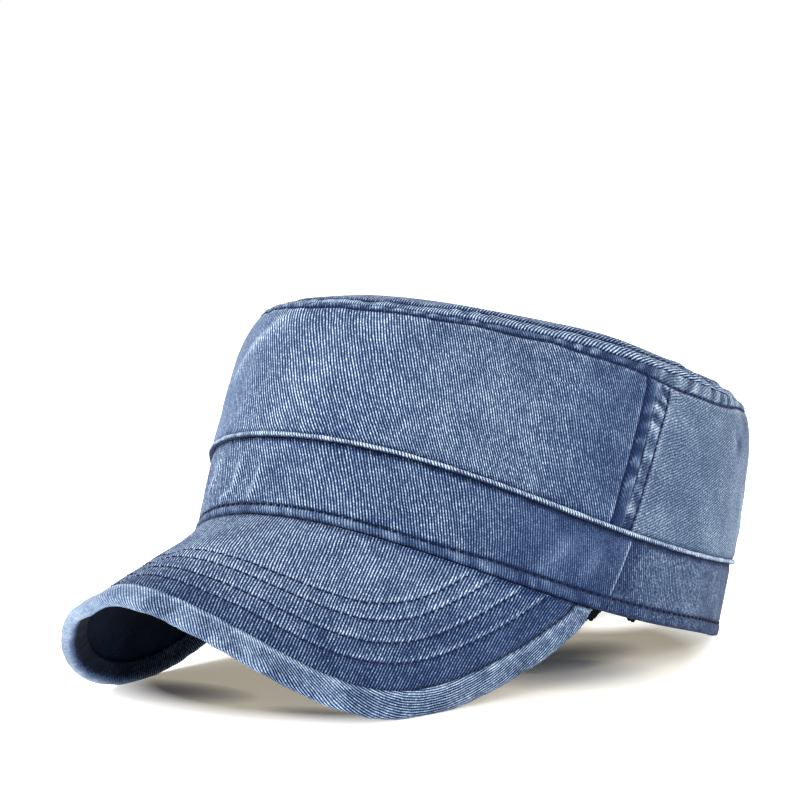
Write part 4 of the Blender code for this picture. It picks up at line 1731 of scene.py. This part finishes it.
@dataclass(frozen=True)
class PeakCover:
    """The peak, covered in twill above and below and sewn through in four rows.

    Attributes:
        rows: Distance of each row of stitches from the outer edge.
        lean: How far the ribs lean on the flat cloth, in degrees.
        tuck: How far in from the outer edge the cloth starts, inside the binding.
        under: How much further in than the hem's line it runs, under the band.
        press_reach: Distances in from the edge between which it grows to its full thickness.
        curl: How much the underside's faces turn to the middle for each metre aside.
        curl_down: How much they look down.
    """

    form: PeakForm
    lean: float = 24.5
    rows: tuple[float, ...] = (0.0388, 0.0328, 0.0247, 0.0179)
    tuck: float = 0.0072
    under: float = 0.0015
    press_reach: tuple[float, float] = (0.0088, 0.0104)
    curl: float = 1.2
    curl_down: float = 0.02
    stations: int = 400
    folds: float = 0.00025
    seed: int = 101
    row: SewnRow = SewnRow(groove=0.00042, radius=0.00026, spread=0.0009, length=0.0025)

    def edge_run(self, share: Numbers) -> Numbers:
        """Distance along the outer edge from its middle."""
        fine = np.linspace(-1, 1, 1601)
        places = self.form.edge(fine)
        steps = np.linalg.norm(np.diff(places, axis=0), axis=1)
        lengths = np.concatenate([[0], np.cumsum(steps)])
        return np.interp(share, fine, lengths - lengths[800])

    def ribs_at(self, share: Numbers, inward: Numbers, lean: Callable[[Numbers], Numbers]) -> Numbers:
        """Distance across and along the ribs of a strip that follows the edge.

        Args:
            share: Where along the peak.
            inward: Distance in from the edge.
            lean: The ribs' lean from square to the edge, in radians, for shares of the peak.

        Returns:
            Two distances for each place.
        """
        fine = np.linspace(-1, 1, 1601)
        run = np.gradient(self.edge_run(fine))
        fine_lean = lean(fine)
        summed = [np.interp(share, fine, np.cumsum(part * run))
                  for part in (np.cos(fine_lean), np.sin(fine_lean))]
        here = lean(share)
        across = summed[0] + inward * np.sin(here)
        along = summed[1] - inward * np.cos(here)
        return np.stack([across, along], axis=-1)

    def flat_ribs(self, share: Numbers, run: Numbers) -> Numbers:
        """Distance across and along the ribs, which run straight over the flat cloth."""
        table = np.linspace(-0.995, 0.995, 399)
        upper, lower = unrolled(self.form.root(table), self.form.edge(table))
        share, run = np.broadcast_arrays(share, run)
        spots = [np.interp(share, table, upper[:, axis]) * (1 - run)
                 + np.interp(share, table, lower[:, axis]) * run
                 for axis in (0, 1)]
        turn = radians(self.lean)
        return np.stack([spots[0] * cos(turn) + spots[1] * sin(turn),
                         spots[1] * cos(turn) - spots[0] * sin(turn)], axis=-1)

    def build(self, name: str, node: str, finish: Twill, underside_shade_finish: Twill) -> SewnRows:
        """Makes the peak, dresses it and gives its rows of stitches."""
        form = self.form
        share = self.spread_shares()[:, None]
        width = form.width(share)
        reach = width + self.under * (1 - ramp(np.abs(share), 0.90, 0.97))
        full = float(reach.max())
        grade = graded(full - self.tuck, 0.0009, 0.0003, [row - self.tuck for row in self.rows], 0.0013)
        inward = self.tuck + grade * (full - self.tuck)
        inward = np.minimum(inward[None, :], reach)
        run = 1 - inward / width
        places = form.point(share, run, self.half_thick(inward))
        outside = np.broadcast_to(np.array((0, -0.3, 1.0)), places.shape)
        face = ClothFace(places, self.flat_ribs(share, run), outside)
        face.normals = form.normal(*np.broadcast_arrays(share, run))
        along = np.broadcast_to(self.edge_run(share), inward.shape)
        soft = layered_mottle(along, inward, 0.020, self.seed, 2)
        fine = layered_mottle(along, inward, 0.005, self.seed + 5, 2)
        ends = ramp(width - inward, 0.0, 0.003)
        face.relief += (self.folds * soft + 0.00008 * fine) * ends
        face.fade += 0.25 * soft
        inner_part = ramp(inward, 0.018, 0.045)
        side_on = ramp(np.abs(share), 0.2, 0.75)
        outer_part = 1 - ramp(inward, 0.0165, 0.0195)
        face.fade += -0.52 + 0.74 * inner_part - 0.17 * side_on - (0.28 - 0.18 * side_on) * outer_part
        # Painted light: paler towards the wearer's right, the side the key lamp lights.
        face.fade += 0.16 * ramp(-share, 0.20, 0.70)
        face.matted += 0.10 * side_on + 0.16 * outer_part * side_on
        tracks: SewnRows = []
        length = self.edge_run(share[:, 0])
        for number, distance in enumerate(self.rows):
            waver = 0.00025 * mottle(along, 0.0, 0.03, self.seed + 40 + number)
            gap = inward - distance - waver
            face.relief -= self.row.pull(gap, along) * ends
            knots = 0.5 + 0.5 * np.cos(2 * pi * along / self.row.pitch)
            # Painted shade along each row's groove, and painted highlights on the cloth between the stitches,
            # stronger towards the ends.
            face.fade -= (0.6 - 0.5 * knots) * hill(gap, 0.0007)
            face.fade += (0.30 + 1.4 * knots * (0.3 + 0.7 * side_on)) * hill(gap - 0.0010, 0.0007)
            puffs = mottle(along, inward * 0.3, 0.0040, self.seed + 60 + number) * hill(gap, 0.0030)
            face.relief += 0.00010 * puffs * ends
            face.fade += 0.25 * puffs
        shade = 1 - ramp(width - inward, 0.0003, 0.0028)
        face.fade -= 0.9 * shade
        for number, distance in enumerate(self.rows):
            waver = 0.00025 * mottle(length, 0.0, 0.03, self.seed + 40 + number)
            track = face.track(inward, distance + waver)
            room = (width[:, 0] > distance + 0.0012)[track.kept]
            tracks.append((Track(track.places[room], track.normals[room], track.kept), self.row))
        edge_turn = np.radians(np.linspace(90, -90, 7)[1:-1])[None, :]
        radius = form.pressed / 2
        middle = radius + form.cap.clearance + 0.0010
        inset = middle - radius * np.cos(edge_turn)
        edge = form.point(share, 1 - inset / width, radius * np.sin(edge_turn))
        low_in = np.minimum(self.tuck + (full - self.tuck) * np.linspace(0, 1, 26)[None, :], reach)
        low = form.point(share, 1 - low_in / width, -self.half_thick(low_in))
        low_ribs = self.flat_ribs(share, 1 - low_in / width)
        edge_ribs = self.flat_ribs(share, 1 - inset / width)
        grid = [face.raised()[:, ::-1], edge, low]
        ribs = [face.ribs[:, ::-1], edge_ribs, low_ribs]
        under = 0.8 * layered_mottle(share * 0.16, low_in, 0.008, self.seed + 9)
        plain = [np.full(part.shape[:2], 0.7) for part in (edge, low)]
        piece = grid_shell(name, grid, ribs, False,
                           {WEAR_AND_SHADING: [face.fade[:, ::-1], np.full(edge.shape[:2], -0.3), under],
                            MATTED: [face.matted[:, ::-1], *plain]})
        dress(piece, Slot.PEAK, (node,), finish.material(), underside_shade_finish.material())
        self.turn_under(piece)
        return tracks

    def turn_under(self, piece: bpy.types.Object) -> None:
        """Gives the faces that look down the second material, darker twill painted as the shade under the
        peak.
        """
        faces = piece.data.polygons
        side = read_numbers(faces, "center", 3)[:, 0]
        level = np.zeros_like(side)
        inwards = np.stack([-side * self.curl, level, level - self.curl_down], 1)
        below = (read_numbers(faces, "normal", 3) * unit(inwards)).sum(axis=1)
        faces.foreach_set("material_index", (below > 0).astype(np.int32))

    def half_thick(self, inward: Numbers) -> Numbers:
        """Half the peak's thickness at distances in from its edge, less where the binding presses it."""
        full = self.form.thickness / 2
        return full - (full - self.form.pressed / 2) * (1 - ramp(inward, *self.press_reach))

    def spread_shares(self) -> Numbers:
        """Shares along the peak, evenly spaced along its edge."""
        fine = np.linspace(-self.form.end_share, self.form.end_share, 1601)
        lengths = self.edge_run(fine)
        wanted = np.linspace(lengths[0], lengths[-1], self.stations + 1)
        return np.interp(wanted, lengths, fine)


@dataclass(frozen=True)
class PeakBinding:
    """The strip of cloth folded over the peak's edge.

    Attributes:
        leans: Shares of the peak and the ribs' lean there, in degrees from square to the edge.
    """

    cover: PeakCover
    width: float = 0.0088
    cloth: float = 0.0010
    stop: float = 0.0008
    leans: tuple[tuple[float, float], ...] = (
        (-1.0, 40), (0.20, 40), (0.28, 57), (0.35, 64), (0.42, 71),
        (0.52, 83), (0.62, 93), (0.72, 100), (0.95, 112),
    )
    seed: int = 131

    def lean(self, share: Numbers) -> Numbers:
        """The ribs' lean, in radians."""
        return np.radians(read_rows(self.leans, share))

    def worn(self, share: Numbers) -> Numbers:
        """How worn the binding is, which is most just left of the middle."""
        return (1 - ramp(share, -0.12, 0.12)) * ramp(share, -0.70, -0.45)

    def build(self, name: str, node: str, finish: Twill) -> None:
        """Makes the binding and dresses it."""
        form = self.cover.form
        share = self.cover.spread_shares()[:, None]
        width = form.width(share)
        depth = np.minimum(self.width, width - self.stop)
        hollow = form.pressed / 2 + form.cap.clearance
        outside = hollow + self.cloth
        faces, ribs, wear_and_shading_layers = [], [], []
        for radius, reverse, flat_rows, turn_rows in ((outside, False, 14, 14), (hollow, True, 5, 7)):
            flat = depth + (outside - depth) * np.linspace(0, 1, flat_rows)[None, :]
            turn = np.radians(np.linspace(90, -90, turn_rows))[None, :]
            upper = form.point(share, 1 - flat / width, radius)
            round_in = outside - radius * np.cos(turn)
            bend = form.point(share, 1 - round_in / width, radius * np.sin(turn))
            lower = form.point(share, 1 - flat[:, ::-1] / width, -radius)
            grid = np.concatenate([upper[:, :-1], bend, lower[:, 1:]], axis=1)
            steps = np.linalg.norm(np.diff(grid, axis=1), axis=-1)
            girth = np.concatenate([np.zeros_like(share), np.cumsum(steps, axis=1)], axis=1)
            crest = upper.shape[1] - 1 + bend.shape[1] // 2
            inward = girth[:, crest : crest + 1] - girth
            along = np.broadcast_to(self.cover.edge_run(share), inward.shape)
            strip = self.cover.ribs_at(share, inward, self.lean)
            lumps = mottle(along, inward * 0.4, 0.0048, self.seed)
            fine = mottle(along, inward, 0.0022, self.seed + 3)
            lip = 1 - ramp(girth, 0.0, 0.0022)
            raise_by = 0.00018 * lumps + 0.00008 * fine + 0.00020 * hill(girth - 0.0016, 0.0012)
            lobe = self.worn(share)
            wear = (0.35 * lumps + 0.2 * fine) * (1 - 0.6 * lobe)
            fade = 0.70 * lobe + wear + 0.6 * hill(girth - 0.0012, 0.0009)
            # Painted shade: the binding darkens where it turns under the peak.
            fade += (-1.62 + 0.06 * lumps - fade) * ramp(-inward, 0.0008, 0.0060)
            if not reverse:
                directions = unit(np.cross(np.gradient(grid, axis=0), np.gradient(grid, axis=1)))
                middle = grid.mean(axis=1, keepdims=True)
                flip = np.sign(((grid - middle) * directions).sum(axis=-1).mean())
                grid = grid + directions * flip * (raise_by * (1 - 0.6 * lip))[..., None]
            faces.append(grid[:, ::-1] if reverse else grid)
            ribs.append(strip[:, ::-1] if reverse else strip)
            wear_and_shading_layers.append(fade[:, ::-1] if reverse else fade)
        plain = [np.broadcast_to(0.20 + 0.6 * self.worn(share), part.shape) for part in wear_and_shading_layers]
        piece = grid_shell(name, faces, ribs, False, {WEAR_AND_SHADING: wear_and_shading_layers, MATTED: plain})
        dress(piece, Slot.BINDING, (node,), finish.material())


# Floor, lights and camera


@dataclass(frozen=True)
class Studio:
    """A pale floor, a white surround, two broad soft lights, a small lamp inside the cap and the camera."""

    floor_radius: float = 4.0
    surround: float = 1.0
    key_place: Place = (-1.35, -1.3, 1.5)
    key_power: float = 47.0
    key_size: float = 1.2
    side_place: Place = (1.7, 0.7, 0.8)
    side_power: float = 11.0
    side_size: float = 0.9
    aim: Place = (0, -0.02, 0.05)
    fill_place: Place = (0.008, 0.088, 0.085)
    fill_aim: Place = (0.009, 0.090, 0.0)
    fill_power: float = 0.26
    fill_spread: float = radians(21)
    fill_blend: float = 0.5
    fill_size: float = 0.01
    eye: Place = (0.87469, -0.99226, 0.23466)
    forward: Place = (-0.6589, 0.74420, -0.10959)
    up: Place = (-0.0417, 0.10932, 0.99313)
    lens: float = 179.465
    sensor_width: float = 36.0
    nearest: float = 0.05

    def build(self) -> None:
        """Makes the studio."""
        self.lay_floor()
        self.light()
        self.set_camera()
        bpy.context.scene.view_settings.view_transform = "Standard"
        LOG.info("studio: floor, surround, lamps and camera")

    def lay_floor(self) -> None:
        """Lays the floor."""
        model = bmesh.new()
        bmesh.ops.create_circle(model, cap_ends=True, cap_tris=False, segments=96, radius=self.floor_radius)
        data = mesh_from(model, bpy.data.meshes.new("floor"))
        data.materials.append(PaleFloor().material())
        floor = add_object("floor", data)

    def light(self) -> None:
        """Sets the white surround and the soft lights from the front left and the right."""
        world = bpy.data.worlds.new("surround")
        world.use_nodes = True
        world.node_tree.nodes["Background"].inputs["Color"].default_value = (1, 1, 1, 1)
        world.node_tree.nodes["Background"].inputs["Strength"].default_value = self.surround
        bpy.context.scene.world = world
        self.add_lamp("key", self.key_place, self.key_power, self.key_size)
        self.add_lamp("side", self.side_place, self.side_power, self.side_size)

        lamp = bpy.data.lights.new("fill", "SPOT")
        lamp.energy = self.fill_power
        lamp.spot_size = self.fill_spread
        lamp.spot_blend = self.fill_blend
        lamp.shadow_soft_size = self.fill_size
        self.hang_lamp("fill", lamp, self.fill_place, self.fill_aim)

    def add_lamp(self, name: str, place: Place, power: float, size: float) -> None:
        """Adds a round, soft light that faces the cap."""
        lamp = bpy.data.lights.new(name, "AREA")
        lamp.shape = "DISK"
        lamp.size = size
        lamp.energy = power
        self.hang_lamp(name, lamp, place, self.aim)

    def hang_lamp(self, name: str, lamp: bpy.types.Light, place: Place, aim: Place) -> None:
        """Puts a light in its place, facing a point."""
        light = bpy.data.objects.new(name, lamp)
        light.location = place
        way = Vector(aim) - Vector(place)
        light.rotation_euler = way.to_track_quat("-Z", "Y").to_euler()
        bpy.context.scene.collection.objects.link(light)

    def set_camera(self) -> None:
        """Sets the camera where the photograph was taken from."""
        lens = bpy.data.cameras.new("camera")
        lens.lens = self.lens
        lens.sensor_width = self.sensor_width
        lens.clip_start = self.nearest
        camera = bpy.data.objects.new("camera", lens)
        back = -Vector(self.forward).normalized()
        right = Vector(self.up).cross(back).normalized()
        up = back.cross(right)
        turn = Matrix((right, up, back)).transposed().to_4x4()
        camera.matrix_world = Matrix.Translation(self.eye) @ turn
        bpy.context.scene.collection.objects.link(camera)
        bpy.context.scene.camera = camera


# The peak's underside: twill painted near black, standing in for the shade under the peak.
UNDERSIDE_SHADE_TINT = (
    (0.00, linear(0, 3, 12)),
    (0.35, linear(1, 8, 23)),
    (0.60, linear(5, 20, 43)),
    (0.80, linear(18, 42, 72)),
    (1.00, linear(52, 80, 112)),
)
REAR_SOFT_TINT = (
    (0.00, linear(24, 40, 72)),
    (0.25, linear(56, 73, 98)),
    (0.50, linear(105, 121, 138)),
    (0.75, linear(163, 177, 187)),
    (1.00, linear(213, 223, 228)),
)
# The binding's colours, with darker stops below for the painted shade on its underside.
BINDING_TINT_WITH_SHADE, SOFT_BINDING_TINT_WITH_SHADE = (
    ((0.0, linear(0, 5, 16)), (0.10, linear(2, 17, 36)), (0.18, stops[0][1]), *stops[1:])
    for stops in (Twill.tint, Twill.soft_tint)
)
FRONT_CREASES = (
    Crease(path=((-28.3, 0.0222), (-23.2, 0.0301), (-17.1, 0.0353), (-11.8, 0.0404)), width=0.0022,
           height=0.0005, fade=0.8),
)
REAR_CREASES = (
    Crease(path=((111.9, 0.0455), (112.6, 0.0400)), width=0.0025, fade=0.5),
    Crease(path=((122.2, 0.0236), (129.7, 0.0102)), width=0.0030, fade=0.5),
    Crease(path=((116.6, 0.0430), (117.5, 0.0400)), width=0.0022, height=-0.0003, fade=-0.8),
)
BAND_CREASES = (
    Crease(path=((-13.0, -0.0094), (-14.5, -0.0172), (-18.6, -0.0201)), width=0.0015, height=0.0005,
           fade=0.9),
    Crease(path=((-5.6, -0.0111), (-5.9, -0.0165), (-7.2, -0.0198)), width=0.0014, height=0.0005, fade=0.8),
    Crease(path=((-24.5, -0.0067), (-25.4, -0.0115), (-28.4, -0.0149)), width=0.0016, height=0.0005,
           fade=0.8),
    Crease(path=((62.0, -0.0190), (66.0, -0.0110)), width=0.0028, height=0.0003, fade=0.5),
    Crease(path=((71.0, -0.0175), (74.0, -0.0090)), width=0.0026, height=0.0003, fade=0.45),
)
FRONT_GRAIN = Grain(
    rows=((-90, 36, 1.05), (-40, 32, 1.10), (-5, 26, 1.10), (10, 27, 1.06), (22, 26, 0.99), (34, 23, 0.88),
          (46, 21, 0.86), (56, 20, 0.93), (64, 19, 1.04), (85, 17, 1.03)),
    low_lean=11.0,
)
REAR_GRAIN = Grain(rows=((70, -60, 1.0), (290, -60, 1.0)))
BAND_GRAIN = Grain(
    rows=((-90, 36, 1.0), (-40, 33, 1.1), (0, 31, 1.04), (10, 29, 1.05), (20, 24, 1.0), (30, 22.5, 0.93),
          (40, 20, 0.92), (48, 15, 0.87), (58, 11, 0.88), (68, 9, 0.86), (90, 8, 0.88)),
    middle=0.013,
    low_lean=-9.0,
    reach=0.013,
)
REAR_BAND_GRAIN = Grain(rows=((70, 10, 1.0), (290, 10, 1.0)), middle=0.013)


def main() -> None:
    """Builds the cap's parts in order, then the studio, and notes the sizes."""
    logging.basicConfig(level=logging.INFO, format="%(message)s")
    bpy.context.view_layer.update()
    form = CapForm()
    peak = PeakForm(cap=form)
    front = CrownSide(form, back=False, grain=FRONT_GRAIN, creases=FRONT_CREASES, seed=1)
    rear = CrownSide(form, back=True, grain=REAR_GRAIN, creases=REAR_CREASES, seed=201, strip_low=0.0044,
                     strip_high=0.0066, matted=0.70)
    crown_rows = front.build("crown_front", "front_panel", Twill("front_cloth", seed=1.0))
    crown_rows += rear.build("crown_rear", "rear_panel",
                             Twill("rear_cloth", contrast=1.05, level=0.385, grain=1.0, pitch=0.0009,
                                   seed=14.0,
                                   soft_tint=REAR_SOFT_TINT))
    crown_rows += CrownTop(form).build("crown_top", "top_panel",
                                       Twill("top_cloth", pitch=0.00090, level=0.38, contrast=0.98,
                                             seed=27.0))
    welt_cloth = Twill("welt_cloth", pitch=0.00095, level=0.40, contrast=1.1, seed=33.0)
    Welt(form).build("welt", "crown_welt", welt_cloth)
    fore_band = Band(form, back=False, grain=BAND_GRAIN, creases=BAND_CREASES)
    rear_band = Band(form, back=True, grain=REAR_BAND_GRAIN, seed=381)
    band_cloth = Twill("band_cloth", level=0.34, seed=41.0)
    rear_band_cloth = Twill("rear_band_cloth", pitch=0.00093, contrast=1.1, level=0.23, grain=0.95, seed=52.0,
                            soft_tint=REAR_SOFT_TINT)
    hem_rows = fore_band.build("band_cover_front", "band_front", band_cloth)
    hem_rows += rear_band.build("band_cover_rear", "band_rear", rear_band_cloth)
    Sweatband(form).build("inner_band", "sweatband", Tape("black_tape"))
    cover = PeakCover(peak)
    peak_cloth = Twill("peak_cloth", level=0.37, seed=63.0)
    # The peak's underside twill, painted dark as the shade under the peak.
    underside_shade_twill = Twill("peak_underside_shade", level=0.42, contrast=0.50, blotch=0.35, grain=0.9, shine=0.03, seed=71.0,
                   tint=UNDERSIDE_SHADE_TINT, soft_tint=UNDERSIDE_SHADE_TINT)
    peak_rows = cover.build("peak_cover", "peak", peak_cloth, underside_shade_twill)
    PeakBinding(cover).build("peak_edge_binding", "peak_binding",
                             Twill("binding_cloth", pitch=0.00085, level=0.42, contrast=0.85, shine=0.05,
                                   seed=85.0,
                                   tint=BINDING_TINT_WITH_SHADE, soft_tint=SOFT_BINDING_TINT_WITH_SHADE))
    navy = Thread("navy_thread")
    for name, rows, slot in (
        ("crown_stitching", crown_rows, Slot.TWILL),
        ("peak_stitching", peak_rows, Slot.PEAK),
    ):
        dress(thread_stitches(name, rows), slot, (), navy.material())
    black = Thread("hem_thread", dark=linear(8, 9, 22), pale=linear(26, 28, 56))
    dress(thread_stitches("hem_stitching", hem_rows), Slot.TWILL, (), black.material())
    Studio().build()


if __name__ == "__main__":
    main()
